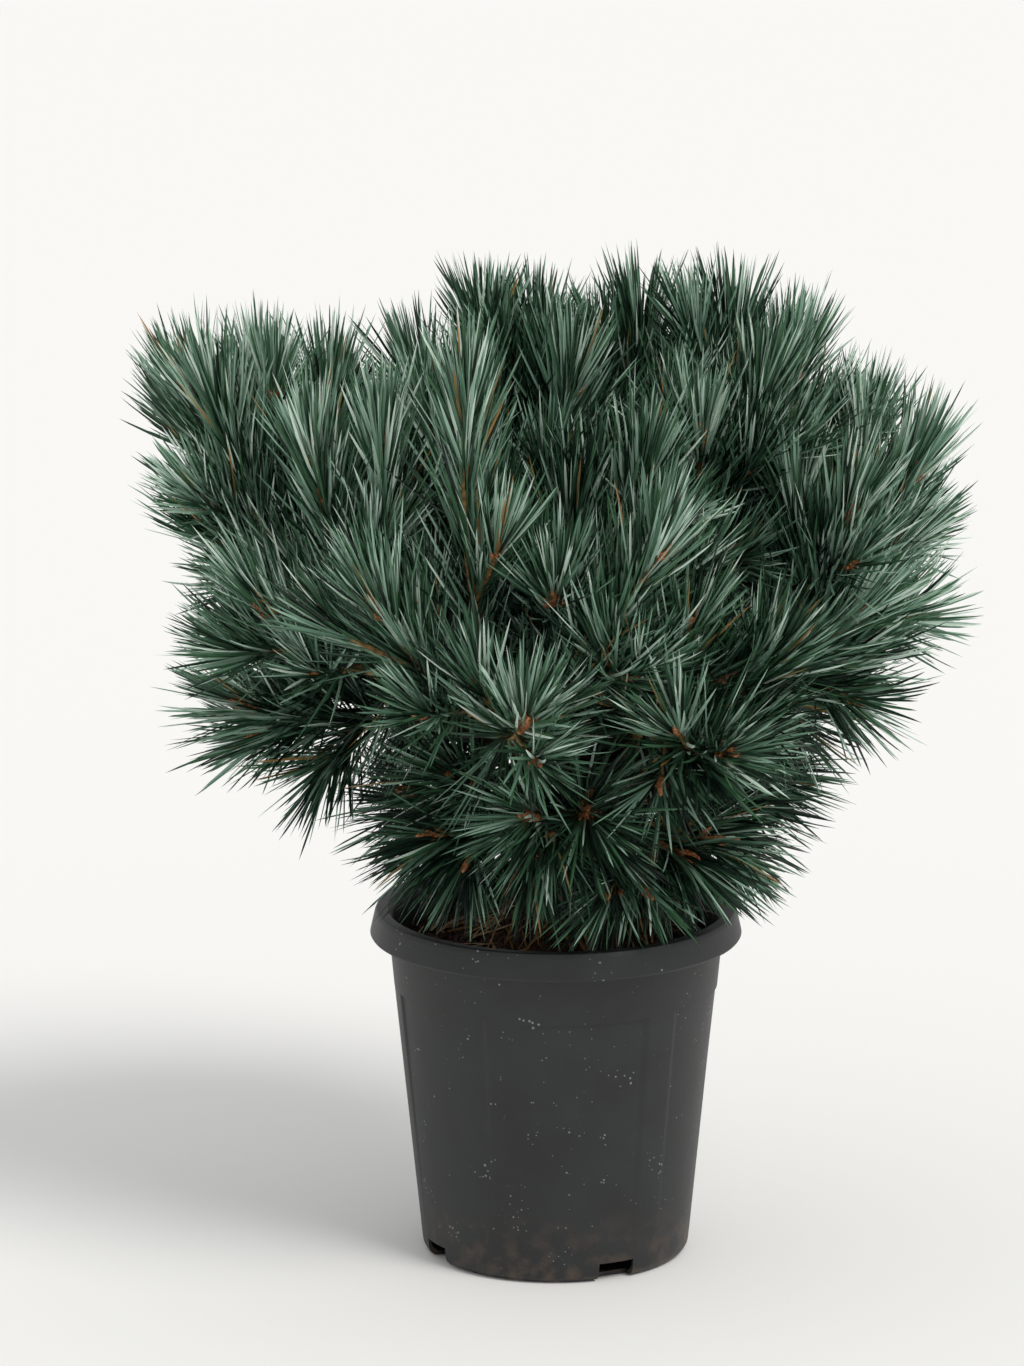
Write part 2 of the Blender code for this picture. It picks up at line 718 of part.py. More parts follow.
def main():
    clear_scene()
    plastic = finish("black_plastic", (0.028, 0.032, 0.036), 0.45)
    soil = finish("peat", (0.022, 0.013, 0.008), 0.95)
    bark = finish("bark", (0.16, 0.085, 0.045), 0.85)
    leaf = finish("pine_needles", (0.14, 0.27, 0.22), 0.6)

    pine = bpy.data.objects.new("potted_pine", None)
    bpy.context.scene.collection.objects.link(pine)
    items = [build_pot(plastic), build_peat(soil)]

    trunk = add_object("trunk", *trunk_solid(0.0), TRUNK_FOOT, bark)
    shade_round(trunk)
    items.append(trunk)
    items += [build_bough(row, bark) for row in LIMBS]

    masses = [Mass(row) for row in LIMBS]
    deal_shoots(masses)
    limbs = limb_segments()
    items += [build_mass(mass, masses, limbs, leaf) for mass in masses]
    for item in items:
        item.parent = pine


main()
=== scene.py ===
"""Potted watereri scots pine: the looks of the plant and its pot.

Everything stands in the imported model's own frame: metres, +Z up, the origin in the
centre of the pot's flat underside, and the front of the plant towards -Y.
"""
import math
import random

import bpy
import bmesh
import numpy as np
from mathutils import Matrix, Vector, noise


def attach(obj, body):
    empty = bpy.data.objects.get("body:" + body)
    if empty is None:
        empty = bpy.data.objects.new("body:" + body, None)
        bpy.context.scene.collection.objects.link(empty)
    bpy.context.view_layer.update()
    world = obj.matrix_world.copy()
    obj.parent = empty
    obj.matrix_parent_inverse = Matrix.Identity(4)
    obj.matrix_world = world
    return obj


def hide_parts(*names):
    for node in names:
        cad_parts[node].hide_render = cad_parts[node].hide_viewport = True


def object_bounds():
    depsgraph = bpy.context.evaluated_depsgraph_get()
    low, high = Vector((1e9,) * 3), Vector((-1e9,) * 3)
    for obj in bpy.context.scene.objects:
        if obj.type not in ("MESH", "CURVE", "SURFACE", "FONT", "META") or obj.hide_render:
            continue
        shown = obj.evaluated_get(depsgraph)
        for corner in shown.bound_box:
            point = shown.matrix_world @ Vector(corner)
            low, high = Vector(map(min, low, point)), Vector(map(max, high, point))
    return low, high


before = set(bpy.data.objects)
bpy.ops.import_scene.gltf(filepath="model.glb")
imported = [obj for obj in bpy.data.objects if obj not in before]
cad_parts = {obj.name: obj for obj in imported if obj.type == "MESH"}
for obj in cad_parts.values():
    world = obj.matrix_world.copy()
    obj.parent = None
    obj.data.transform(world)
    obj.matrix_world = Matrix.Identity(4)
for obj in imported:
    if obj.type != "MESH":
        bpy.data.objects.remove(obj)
cad_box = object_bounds()
scene = bpy.context.scene


# Studio
# A pale seamless floor in a white room, lit from all round and by one broad lamp far
# off above the front right, as in a nursery's catalogue photograph.

PICTURE_HIGH = 1366.0          # pixels of the photograph's height
PICTURE_MIDDLE = 512.0         # and the column of its centre
POT_AXIS_COLUMN = 557.5        # the pot's axis stands in this column
POT_FOOT_ROW = 1243.0          # and its foot in this row
FOCAL_PIXELS = 8002.0
CAMERA_PLACE = Vector((0.0, -4.5, 1.436))
SENSOR_MM = 36.0


def linear(code):
    """A colour written as sRGB hex, turned to linear light."""
    values = [int(code[k:k + 2], 16) / 255.0 for k in (1, 3, 5)]
    return [v / 12.92 if v <= 0.04045 else ((v + 0.055) / 1.055) ** 2.4 for v in values]


def add_node(tree, kind, links=None, **settings):
    """One shader node with its settings, and its sockets' values or links."""
    made = tree.nodes.new(kind)
    for key, value in settings.items():
        setattr(made, key, value)
    for socket, value in (links or {}).items():
        if isinstance(value, bpy.types.NodeSocket):
            tree.links.new(value, made.inputs[socket])
        else:
            made.inputs[socket].default_value = value
    return made


def new_material(name, code, roughness, ior=1.5):
    """A material, its node tree and its shader, with one base colour."""
    material = bpy.data.materials.new(name)
    material.use_nodes = True
    tree = material.node_tree
    shader = tree.nodes["Principled BSDF"]
    shader.inputs["Base Color"].default_value = (*linear(code), 1.0)
    shader.inputs["Roughness"].default_value = roughness
    shader.inputs["IOR"].default_value = ior
    shader.inputs["Metallic"].default_value = 0.0
    return material, tree, shader


camera_data = bpy.data.cameras.new("studio_camera")
camera_data.sensor_fit = "VERTICAL"
camera_data.sensor_height = SENSOR_MM
camera_data.lens = FOCAL_PIXELS / PICTURE_HIGH * SENSOR_MM
camera_data.clip_end = 50.0
camera = bpy.data.objects.new("studio_camera", camera_data)
camera.location = CAMERA_PLACE
down = math.atan2(CAMERA_PLACE.z, -CAMERA_PLACE.y)
down -= math.atan((POT_FOOT_ROW - PICTURE_HIGH / 2) / FOCAL_PIXELS)
aside = math.atan((POT_AXIS_COLUMN - PICTURE_MIDDLE) / FOCAL_PIXELS)
camera.rotation_euler = (math.pi / 2 - down, 0.0, aside)
scene.collection.objects.link(camera)
scene.camera = camera
scene.view_settings.view_transform = "Standard"

KEY_FROM = Vector((0.62, -0.60, 1.05))
key = bpy.data.objects.new("key_lamp", bpy.data.lights.new("key_lamp", "SUN"))
key.data.energy = 1.55
key.data.angle = math.radians(24.0)
key.data.color = linear("#fffcf6")
key.rotation_euler = KEY_FROM.to_track_quat("Z", "Y").to_euler()
scene.collection.objects.link(key)

# The room is white to the eye, and dim enough that the crown keeps its deep shade.
ROOM_LIGHT = 0.68
world = bpy.data.worlds.new("white_room")
world.use_nodes = True
room = world.node_tree
seen = add_node(room, "ShaderNodeLightPath")
strength = add_node(room, "ShaderNodeMapRange", {
    "Value": seen.outputs["Is Camera Ray"], "To Min": ROOM_LIGHT, "To Max": 1.0})
room.nodes["Background"].inputs["Color"].default_value = (1.0, 1.0, 1.0, 1.0)
room.links.new(strength.outputs["Result"], room.nodes["Background"].inputs["Strength"])
scene.world = world

FLOOR_SIZE = 16.0
FLOOR_HEIGHT = -0.0005         # just under the pot, so that the two don't flicker
floor_mesh = bpy.data.meshes.new("studio_floor")
floor_half = FLOOR_SIZE / 2
floor_mesh.from_pydata(
    [(x * floor_half, y * floor_half, FLOOR_HEIGHT)
     for x, y in ((-1, -1), (1, -1), (1, 1), (-1, 1))],
    [], [(0, 1, 2, 3)])
floor = bpy.data.objects.new("studio_floor", floor_mesh)
scene.collection.objects.link(floor)
paper, paper_tree, paper_shader = new_material("matt_white_paper", "#f4f4f3", 0.9)
floor_mesh.materials.append(paper)


# Pot
# A five litre nursery container, injection moulded in recycled polypropylene:
# six shallow panels between ribs, a plain band, a rolled rim and four drain notches.

POT_HEIGHT = 0.206
POT_FOOT_RADIUS = 0.0775
POT_DRAFT = 0.0975             # growth of the radius for each metre of height
POT_WALL = 0.0018
POT_FLOOR = 0.0025
POT_CORNER = 0.006
POT_HUB_RADIUS = 0.030         # inside this the floor is a plain fan of triangles
POT_SEGMENTS = 360
POT_RING_STEP = 0.006          # most distance between two rings of its mesh
BAND_FOOT = 0.160              # height at which the plain band begins
BAND_STEP = 0.0012             # and how far it stands proud of the panels
PANEL_COUNT = 6
PANEL_FOOT = 0.014
PANEL_TURN = -56.0             # azimuth of the right edge of the front panel
RIB_TURN = 13.5                # degrees that a rib takes of a panel's pitch
PANEL_EDGE = 1.2               # degrees over which a panel's edge is rounded
RIM_HEIGHT = 0.0162
RIM_CREST_RADIUS = 0.1015
RIM_LIP_RADIUS = 0.108
RIM_SKIN = 0.002
NOTCH_COUNT = 4
NOTCH_TURN = -63.0
NOTCH_WIDTH = 0.022
NOTCH_HEIGHT = 0.011
NOTCH_INNER_RADIUS = 0.068


def smooth_step(t):
    t = min(max(t, 0.0), 1.0)
    return t * t * (3.0 - 2.0 * t)


def panel_recess(azimuth, height):
    """How far the wall steps in at a panel: less and less towards the foot."""
    pitch = 360.0 / PANEL_COUNT
    turn = (azimuth - PANEL_TURN - RIB_TURN) % pitch
    inset = min(turn, pitch - RIB_TURN - turn)
    fade = (height - PANEL_FOOT) / (BAND_FOOT - PANEL_FOOT)
    return BAND_STEP * smooth_step(inset / PANEL_EDGE + 0.5) * min(max(fade, 0.0), 1.0)


def pot_wall(height):
    return POT_FOOT_RADIUS + POT_DRAFT * height + BAND_STEP * min(height / BAND_FOOT, 1.0)


def pot_inside(height):
    return POT_FOOT_RADIUS + POT_DRAFT * height - POT_WALL


def rounded(corners, radii, steps=5):
    """The points of an outline whose corners are rounded with circles."""
    points = [corners[0]]
    for before, corner, after, radius in zip(corners, corners[1:], corners[2:], radii):
        to_last = (Vector(before) - Vector(corner)).normalized()
        to_next = (Vector(after) - Vector(corner)).normalized()
        half = to_last.angle(to_next) / 2
        run = radius / math.tan(half)
        centre = Vector(corner) + (to_last + to_next).normalized() * (radius / math.sin(half))
        first = Vector(corner) + to_last * run - centre
        last = Vector(corner) + to_next * run - centre
        for k in range(steps + 1):
            arm = first.lerp(last, k / steps).normalized() * radius
            points.append(tuple(centre + arm))
    points.append(corners[-1])
    return points


def add_piece(name, points, faces, material, smooth=True):
    """A mesh object from an array of points and arrays of three or four corners."""
    mesh = bpy.data.meshes.new(name)
    faces = [np.asarray(f, np.int32) for f in faces if len(f)]
    corners = np.concatenate([f.ravel() for f in faces])
    sizes = np.concatenate([np.full(len(f), f.shape[1], np.int32) for f in faces])
    starts = np.concatenate([[0], np.cumsum(sizes)[:-1]]).astype(np.int32)
    mesh.vertices.add(len(points))
    mesh.vertices.foreach_set("co", np.asarray(points, np.float32).ravel())
    mesh.loops.add(len(corners))
    mesh.loops.foreach_set("vertex_index", corners)
    mesh.polygons.add(len(sizes))
    mesh.polygons.foreach_set("loop_start", starts)
    mesh.polygons.foreach_set("use_smooth", np.full(len(sizes), smooth))
    mesh.update(calc_edges=True)
    mesh.validate()
    mesh.materials.append(material)
    piece = bpy.data.objects.new(name, mesh)
    scene.collection.objects.link(piece)
    return piece


def grid_faces(rows, columns, first=0):
    """Four-cornered faces of a grid of points that closes round its columns."""
    row = np.arange(rows - 1)[:, None] * columns
    column = np.arange(columns)[None, :]
    following = (column + 1) % columns
    faces = np.stack([row + column, row + following,
                      row + columns + following, row + columns + column], axis=-1)
    return faces.reshape(-1, 4) + first


def fan_faces(centre, ring_start, columns, flip):
    column = np.arange(columns)
    following = (column + 1) % columns
    ends = (following, column) if flip else (column, following)
    return np.stack([np.full(columns, centre), ring_start + ends[0], ring_start + ends[1]], axis=-1)


# Radius and height of each corner of the pot's section: from its underside up the
# outside, out and round under the rolled rim, over its crest and down the inside.
rim_foot = POT_HEIGHT - RIM_HEIGHT
rim_roof = POT_HEIGHT - RIM_SKIN * 1.6
pot_corners = [
    (POT_HUB_RADIUS, 0.0),
    (pot_wall(0.0), 0.0),
    (pot_wall(BAND_FOOT), BAND_FOOT),
    (pot_wall(rim_roof), rim_roof),
    (RIM_LIP_RADIUS - RIM_SKIN * 1.1, rim_foot + 0.001),
    (RIM_LIP_RADIUS - 0.0006, rim_foot - 0.0002),
    (RIM_LIP_RADIUS + 0.0003, rim_foot + 0.0012),
    (RIM_LIP_RADIUS - 0.0024, POT_HEIGHT - 0.0030),
    (RIM_LIP_RADIUS - 0.0036, POT_HEIGHT - 0.0002),
    (RIM_CREST_RADIUS - 0.0032, POT_HEIGHT - 0.0002),
    (pot_inside(POT_HEIGHT - 0.006), POT_HEIGHT - 0.006),
    (pot_inside(POT_CORNER), POT_CORNER),
    (pot_inside(0.0) - 0.003, POT_FLOOR),
    (POT_HUB_RADIUS, POT_FLOOR),
]
pot_rounds = [POT_CORNER, 0.004, 0.0012, 0.0004, 0.0004, 0.0006, 0.004, 0.0014,
              0.0014, 0.003, 0.002, 0.002]
profile = rounded(pot_corners, pot_rounds)
finer = []
for (r0, z0), (r1, z1) in zip(profile, profile[1:]):
    parts = max(1, int(math.hypot(r1 - r0, z1 - z0) / POT_RING_STEP))
    cuts = [k / parts for k in range(parts)]
    if r0 > pot_inside(z0) + 0.0005 and z1 - z0 > 0.05:
        edges = (BAND_FOOT - 0.0008, BAND_FOOT, BAND_FOOT + 0.0010)
        cuts += [(z - z0) / (z1 - z0) for z in edges if z0 < z < z1]
    finer += [(r0 + (r1 - r0) * t, z0 + (z1 - z0) * t) for t in sorted(cuts)]
finer.append(profile[-1])

pot_points = []
for radius, height in finer:
    for k in range(POT_SEGMENTS):
        azimuth = PANEL_TURN + 360.0 * k / POT_SEGMENTS
        reach = radius
        if height < BAND_FOOT and radius > pot_inside(height) + 0.0005:
            reach -= panel_recess(azimuth, height)
        turn = math.radians(azimuth)
        pot_points.append((reach * math.cos(turn), reach * math.sin(turn), height))
last_ring = len(pot_points) - POT_SEGMENTS
pot_points += [(0.0, 0.0, 0.0), (0.0, 0.0, POT_FLOOR)]
pot_faces = [
    grid_faces(len(finer), POT_SEGMENTS),
    fan_faces(len(pot_points) - 2, 0, POT_SEGMENTS, flip=True),
    fan_faces(len(pot_points) - 1, last_ring, POT_SEGMENTS, flip=False),
]

plastic, tree, shader = new_material("moulded_recycled_polypropylene", "#181a1d", 0.5)
# Recycled plastic is a cool charcoal with cloudy patches, a fine eggshell grain from
# the mould, pale dust caught in it, and peat dried on near the foot.
place = add_node(tree, "ShaderNodeTexCoord").outputs["Object"]
clouds = add_node(tree, "ShaderNodeTexNoise", {"Vector": place, "Scale": 28.0, "Detail": 6.0})
cloudy = add_node(tree, "ShaderNodeValToRGB", {"Fac": clouds.outputs["Fac"]})
cloudy.color_ramp.elements[0].position = 0.36
cloudy.color_ramp.elements[0].color = (*linear("#121415"), 1.0)
cloudy.color_ramp.elements[1].position = 0.68
cloudy.color_ramp.elements[1].color = (*linear("#1d2022"), 1.0)
# Dust specks are about 0.5 mm across, one each 4 mm, drawn a little coarser.
specks = add_node(tree, "ShaderNodeTexVoronoi", {"Vector": place, "Scale": 300.0})
speck_size = add_node(tree, "ShaderNodeTexNoise", {"Vector": place, "Scale": 60.0, "Detail": 2.0})
speck_limit = add_node(tree, "ShaderNodeMapRange", {
    "Value": speck_size.outputs["Fac"], "From Min": 0.5, "From Max": 0.75,
    "To Min": 0.02, "To Max": 0.26})
speck_on = add_node(tree, "ShaderNodeMath", {
    0: specks.outputs["Distance"], 1: speck_limit.outputs["Result"]}, operation="LESS_THAN")
speck_part = add_node(tree, "ShaderNodeMath", {0: speck_on.outputs[0], 1: 0.5}, operation="MULTIPLY")
dusted = add_node(tree, "ShaderNodeMix", {
    "Factor": speck_part.outputs[0], "A": cloudy.outputs["Color"],
    "B": (*linear("#9aa0a0"), 1.0)}, data_type="RGBA")
heights = add_node(tree, "ShaderNodeSeparateXYZ", {"Vector": place})
soil_reach = add_node(tree, "ShaderNodeMapRange", {
    "Value": heights.outputs["Z"], "From Min": 0.0, "From Max": 0.045,
    "To Min": 0.85, "To Max": 0.0})
soil_patch = add_node(tree, "ShaderNodeTexNoise", {"Vector": place, "Scale": 90.0, "Detail": 8.0})
soil_sharp = add_node(tree, "ShaderNodeMapRange", {
    "Value": soil_patch.outputs["Fac"], "From Min": 0.45, "From Max": 0.66})
soil_part = add_node(tree, "ShaderNodeMath", {
    0: soil_reach.outputs["Result"], 1: soil_sharp.outputs["Result"]}, operation="MULTIPLY")
soiled = add_node(tree, "ShaderNodeMix", {
    "Factor": soil_part.outputs[0], "A": dusted.outputs[2],
    "B": (*linear("#4a3c31"), 1.0)}, data_type="RGBA")
tree.links.new(soiled.outputs[2], shader.inputs["Base Color"])
wear = add_node(tree, "ShaderNodeMapRange", {
    "Value": clouds.outputs["Fac"], "To Min": 0.44, "To Max": 0.60})
tree.links.new(wear.outputs["Result"], shader.inputs["Roughness"])
grain = add_node(tree, "ShaderNodeTexNoise", {"Vector": place, "Scale": 900.0, "Detail": 3.0})
grain_bump = add_node(tree, "ShaderNodeBump", {
    "Height": grain.outputs["Fac"], "Strength": 0.25, "Distance": 0.0006})
sag = add_node(tree, "ShaderNodeTexNoise", {"Vector": place, "Scale": 16.0, "Detail": 2.0})
sag_bump = add_node(tree, "ShaderNodeBump", {
    "Height": sag.outputs["Fac"], "Strength": 0.35, "Distance": 0.004,
    "Normal": grain_bump.outputs["Normal"]})
tree.links.new(sag_bump.outputs["Normal"], shader.inputs["Normal"])

pot = add_piece("nursery_pot", pot_points, pot_faces, plastic)
for number in range(NOTCH_COUNT):
    turn = math.radians(NOTCH_TURN + 360.0 * number / NOTCH_COUNT)
    reach = pot_wall(0.0) + 0.01 - NOTCH_INNER_RADIUS
    middle = NOTCH_INNER_RADIUS + reach / 2
    block = bmesh.new()
    bmesh.ops.create_cube(block, size=1.0)
    bmesh.ops.scale(block, vec=(reach, NOTCH_WIDTH, NOTCH_HEIGHT * 2), verts=block.verts)
    block_mesh = bpy.data.meshes.new("notch_cutter")
    block.to_mesh(block_mesh)
    block.free()
    cutter = bpy.data.objects.new("notch_cutter", block_mesh)
    cutter.rotation_euler.z = turn
    cutter.location = (math.cos(turn) * middle, math.sin(turn) * middle, 0.0)
    scene.collection.objects.link(cutter)
    notch = pot.modifiers.new("notch", "BOOLEAN")
    notch.operation = "DIFFERENCE"
    notch.solver = "EXACT"
    notch.object = cutter
    bpy.context.view_layer.update()
    cut_mesh = bpy.data.meshes.new_from_object(
        pot.evaluated_get(bpy.context.evaluated_depsgraph_get()))
    pot.modifiers.remove(notch)
    pot.data = cut_mesh
    bpy.data.objects.remove(cutter, do_unlink=True)
pot.data.shade_smooth()
pot.data.set_sharp_from_angle(angle=math.radians(38.0))
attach(pot, "root")
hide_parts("pot")


# Peat
# Dark, damp potting peat, filled to below the rim by hand and heaped round the
# stem, with loose crumbs on top.

TRUNK_FOOT = Vector((0.022, 0.002, 0.2265))
PEAT_EDGE = 0.184
PEAT_TOP = 0.2262
HEAP_RADIUS = 0.072
HEAP_FLAT_RADIUS = 0.022
PEAT_RINGS = 70
PEAT_COLUMNS = 220
PEAT_GAP = 0.0003
CRUMB_COUNT = 1500
SEED = 41


def peat_height(x, y):
    """Height of the peat: heaped round the trunk and level out to the wall."""
    distance = math.hypot(x - TRUNK_FOOT.x, y - TRUNK_FOOT.y)
    t = smooth_step((distance - HEAP_FLAT_RADIUS) / (HEAP_RADIUS - HEAP_FLAT_RADIUS))
    return PEAT_TOP + (PEAT_EDGE - PEAT_TOP) * t


def crumbly(x, y):
    """Relief of crumbs from 2 to 9 mm across, at most about 3 mm high."""
    coarse = noise.noise(Vector((x * 110, y * 110, 3.0)))
    fine = noise.noise(Vector((x * 330, y * 330, 7.0)))
    return 0.0019 * coarse + 0.0012 * abs(fine) - 0.0012


peat_points = []
edge = pot_inside(PEAT_EDGE) - PEAT_GAP
for ring in range(PEAT_RINGS):
    share = (ring + 1) / PEAT_RINGS
    for k in range(PEAT_COLUMNS):
        turn = 2 * math.pi * k / PEAT_COLUMNS
        x = TRUNK_FOOT.x * (1 - share) + math.cos(turn) * edge * share
        y = TRUNK_FOOT.y * (1 - share) + math.sin(turn) * edge * share
        height = peat_height(x, y) + crumbly(x, y) * min(1.0, (1 - share) * 20)
        peat_points.append((x, y, height))
low_edge = pot_inside(0.01) - PEAT_GAP
for k in range(PEAT_COLUMNS):
    turn = 2 * math.pi * k / PEAT_COLUMNS
    peat_points.append((math.cos(turn) * low_edge, math.sin(turn) * low_edge, 0.01))
peat_points += [(TRUNK_FOOT.x, TRUNK_FOOT.y, PEAT_TOP), (0.0, 0.0, 0.01)]
peat_faces = [
    grid_faces(PEAT_RINGS + 1, PEAT_COLUMNS)[:, ::-1],
    fan_faces(len(peat_points) - 2, 0, PEAT_COLUMNS, flip=False),
    fan_faces(len(peat_points) - 1, PEAT_RINGS * PEAT_COLUMNS, PEAT_COLUMNS, flip=True),
]

soil, tree, shader = new_material("damp_crumbled_peat", "#2a1a12", 0.95)
# Peat is almost black where wet and reddish brown where its crumbs dry out.
place = add_node(tree, "ShaderNodeTexCoord").outputs["Object"]
patches = add_node(tree, "ShaderNodeTexNoise", {"Vector": place, "Scale": 420.0, "Detail": 6.0})
earth = add_node(tree, "ShaderNodeValToRGB", {"Fac": patches.outputs["Fac"]})
earth.color_ramp.elements[0].position = 0.38
earth.color_ramp.elements[0].color = (*linear("#140c08"), 1.0)
earth.color_ramp.elements[1].position = 0.70
earth.color_ramp.elements[1].color = (*linear("#5a3a26"), 1.0)
tree.links.new(earth.outputs["Color"], shader.inputs["Base Color"])
crumb_bump = add_node(tree, "ShaderNodeBump", {
    "Height": patches.outputs["Fac"], "Strength": 0.8, "Distance": 0.0015})
tree.links.new(crumb_bump.outputs["Normal"], shader.inputs["Normal"])

peat = add_piece("peat_bed", peat_points, peat_faces, soil)
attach(peat, "root")
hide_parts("peat")

ball = bmesh.new()
bmesh.ops.create_icosphere(ball, subdivisions=1, radius=1.0)
ball_points = np.array([tuple(v.co) for v in ball.verts])
ball_faces = np.array([[v.index for v in f.verts] for f in ball.faces])
ball.free()
dice = np.random.default_rng(SEED)
crumb_points = []
crumb_faces = []
for number in range(CRUMB_COUNT):
    share = math.sqrt(dice.uniform(0.02, 0.96))
    turn = dice.uniform(0, 2 * math.pi)
    x = math.cos(turn) * edge * share
    y = math.sin(turn) * edge * share
    size = dice.uniform(0.0007, 0.0026)
    shape = ball_points * dice.uniform(0.65, 1.25, (len(ball_points), 1))
    shape = shape * dice.uniform(0.6, 1.2, 3) * size
    crumb_points.append(shape + (x, y, peat_height(x, y) + size * 0.2))
    crumb_faces.append(ball_faces + number * len(ball_points))
crumbs = add_piece("peat_crumbs", np.concatenate(crumb_points),
                   [np.concatenate(crumb_faces)], soil)
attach(crumbs, "root")


# Trunk and boughs
# The woody stem of a young grafted pine: a short leaning trunk, flared where it
# enters the peat, and boughs that rise from it, all in rough grey brown bark.

GAP = 0.0003
TRUNK_AZIMUTH = 170.0
TRUNK_RISE = 82.0
TRUNK_LIFT = 12.0
TRUNK_LENGTH = 0.115
TRUNK_RADIUS = 0.0120
TRUNK_TIP_SHARE = 0.72
FLARE = 0.65
FLARE_HEIGHT = 0.014
TRUNK_STEPS = 9
BOUGH_RADIUS = 0.0056
BOUGH_TIP_RADIUS = 0.0042
BOUGH_START = 0.5
BOUGH_LIFT = 22.0
BOUGH_STEPS = 4
BARK_STEP = 0.0016             # distance between the rings of a limb's skin

# Each row is one bough and the foliage at its tip: name, place up the trunk as a
# share, azimuth, rise and length of the bough, how far the needles droop, how many
# shoots are dealt by the rule, and the shoots whose buds show, as azimuth, rise
# and length.
LIMBS = (
    ("front", 0.42, 245, 31, 0.101, 0.0, 2,
     ((221, 82, 0.194), (210, 44, 0.109), (333, 49, 0.149))),
    ("front_right", 0.36, 295, 38, 0.090, 0.1, 2,
     ((304, 56, 0.076), (340, 27, 0.083), (248, 43, 0.073))),
    ("centre_front", 0.82, 265, 60, 0.057, 0.0, 1,
     ((276, 66, 0.073), (331, 60, 0.104), (186, 63, 0.101))),
    ("left_front", 0.54, 201, 30, 0.110, 0.0, 2,
     ((222, 66, 0.151), (203, 31, 0.091), (262, 72, 0.152))),
    ("left", 0.72, 180, 32, 0.153, 0.0, 0,
     ((198, 59, 0.127), (172, 54, 0.125), (135, 62, 0.112), (204, 26, 0.067),
      (84, 76, 0.104))),
    ("left_low", 0.34, 171, 25, 0.098, 0.2, 1,
     ((180, 32, 0.087), (199, 9, 0.092), (146, 50, 0.081))),
    ("crown", 1.00, 166, 76, 0.080, 0.0, 1,
     ((169, 78, 0.115), (73, 78, 0.098), (166, 50, 0.097), (315, 67, 0.092))),
    ("crown_right", 0.90, 48, 67, 0.092, 0.0, 2,
     ((121, 75, 0.088), (21, 83, 0.108), (320, 59, 0.076))),
    ("right_top", 0.76, 9, 56, 0.116, 0.0, 2,
     ((344, 67, 0.092), (51, 74, 0.115), (15, 59, 0.111), (270, 58, 0.076))),
    ("right", 0.62, 355, 37, 0.117, 0.0, 2,
     ((6, 44, 0.123), (322, 48, 0.096), (27, 56, 0.120))),
    ("right_low", 0.50, 335, 34, 0.096, 0.1, 0,
     ((348, 31, 0.087), (0, 13, 0.073), (31, -8, 0.059), (292, 27, 0.060),
      (10, 38, 0.120))),
    ("low_left", 0.19, 228, 20, 0.044, 0.6, 0,
     ((212, -3, 0.052), (287, -13, 0.034), (164, 8, 0.058), (193, 38, 0.049))),
    ("low_front", 0.28, 262, 18, 0.052, 0.5, 1,
     ((240, 8, 0.040), (285, 12, 0.045))),
    ("low_right", 0.18, 311, 19, 0.030, 0.6, 1,
     ((313, -14, 0.038), (342, -7, 0.039), (13, 12, 0.058))),
    ("right_under", 0.26, 12, 20, 0.050, 0.4, 1,
     ((352, 14, 0.038), (40, 18, 0.046))),
    ("back", 0.68, 94, 40, 0.107, 0.0, 3,
     ((96, 60, 0.092), (45, 27, 0.087), (133, 32, 0.096), (87, -7, 0.086))),
    ("back_left", 0.58, 141, 31, 0.120, 0.0, 3,
     ((142, 55, 0.098), (140, 13, 0.087), (94, 9, 0.066))),
    ("back_right", 0.48, 45, 37, 0.110, 0.0, 3,
     ((20, 52, 0.095), (33, 14, 0.086), (85, 23, 0.065))),
    ("back_low", 0.30, 92, 29, 0.059, 0.5, 2,
     ((135, 15, 0.059), (38, 10, 0.058))),
)


def direction(azimuth, rise):
    turn = math.radians(azimuth)
    tilt = math.radians(rise)
    level = math.cos(tilt)
    return Vector((math.cos(turn) * level, math.sin(turn) * level, math.sin(tilt)))


def limb_path(start, azimuth, rise, length, lift, steps):
    """Points along a limb whose rise grows by lift from its foot to its tip."""
    points = [start.copy()]
    for k in range(steps):
        bend = lift * ((k + 0.5) / steps - 0.5)
        points.append(points[-1] + direction(azimuth, rise + bend) * (length / steps))
    return points


def along(path, share):
    """The point and the heading at a share of the way along a path."""
    place = min(share, 0.9999) * (len(path) - 1)
    k = int(place)
    return path[k].lerp(path[k + 1], place - k), (path[k + 1] - path[k]).normalized()


def shares(count):
    return [k / (count - 1) for k in range(count)]


def trunk_radius(share):
    taper = 1.0 + (TRUNK_TIP_SHARE - 1.0) * share
    flare = FLARE * math.exp(-share * TRUNK_LENGTH / FLARE_HEIGHT)
    return TRUNK_RADIUS * (taper + flare)


def trunk_path():
    return limb_path(TRUNK_FOOT, TRUNK_AZIMUTH, TRUNK_RISE, TRUNK_LENGTH,
                     TRUNK_LIFT, TRUNK_STEPS)


def bough_path(row):
    height, azimuth, rise, length = row[1:5]
    centre, _ = along(trunk_path(), height)
    start = centre + direction(azimuth, 0) * trunk_radius(height) * BOUGH_START
    return limb_path(start, azimuth, rise, length, BOUGH_LIFT, BOUGH_STEPS)


def path_length(path):
    return sum((b - a).length for a, b in zip(path, path[1:]))


def smooth_path(path, step):
    """Points close together on a curve through the points of a path."""
    ends = [path[0] * 2 - path[1]] + list(path) + [path[-1] * 2 - path[-2]]
    fine = []
    for a, b, c, d in zip(ends, ends[1:], ends[2:], ends[3:]):
        count = max(2, round((c - b).length / step))
        for k in range(count):
            t = k / count
            fine.append((b * 2 + (c - a) * t + (a * 2 - b * 5 + c * 4 - d) * t * t
                         + (b * 3 - a - c * 3 + d) * t * t * t) * 0.5)
    fine.append(path[-1].copy())
    return fine


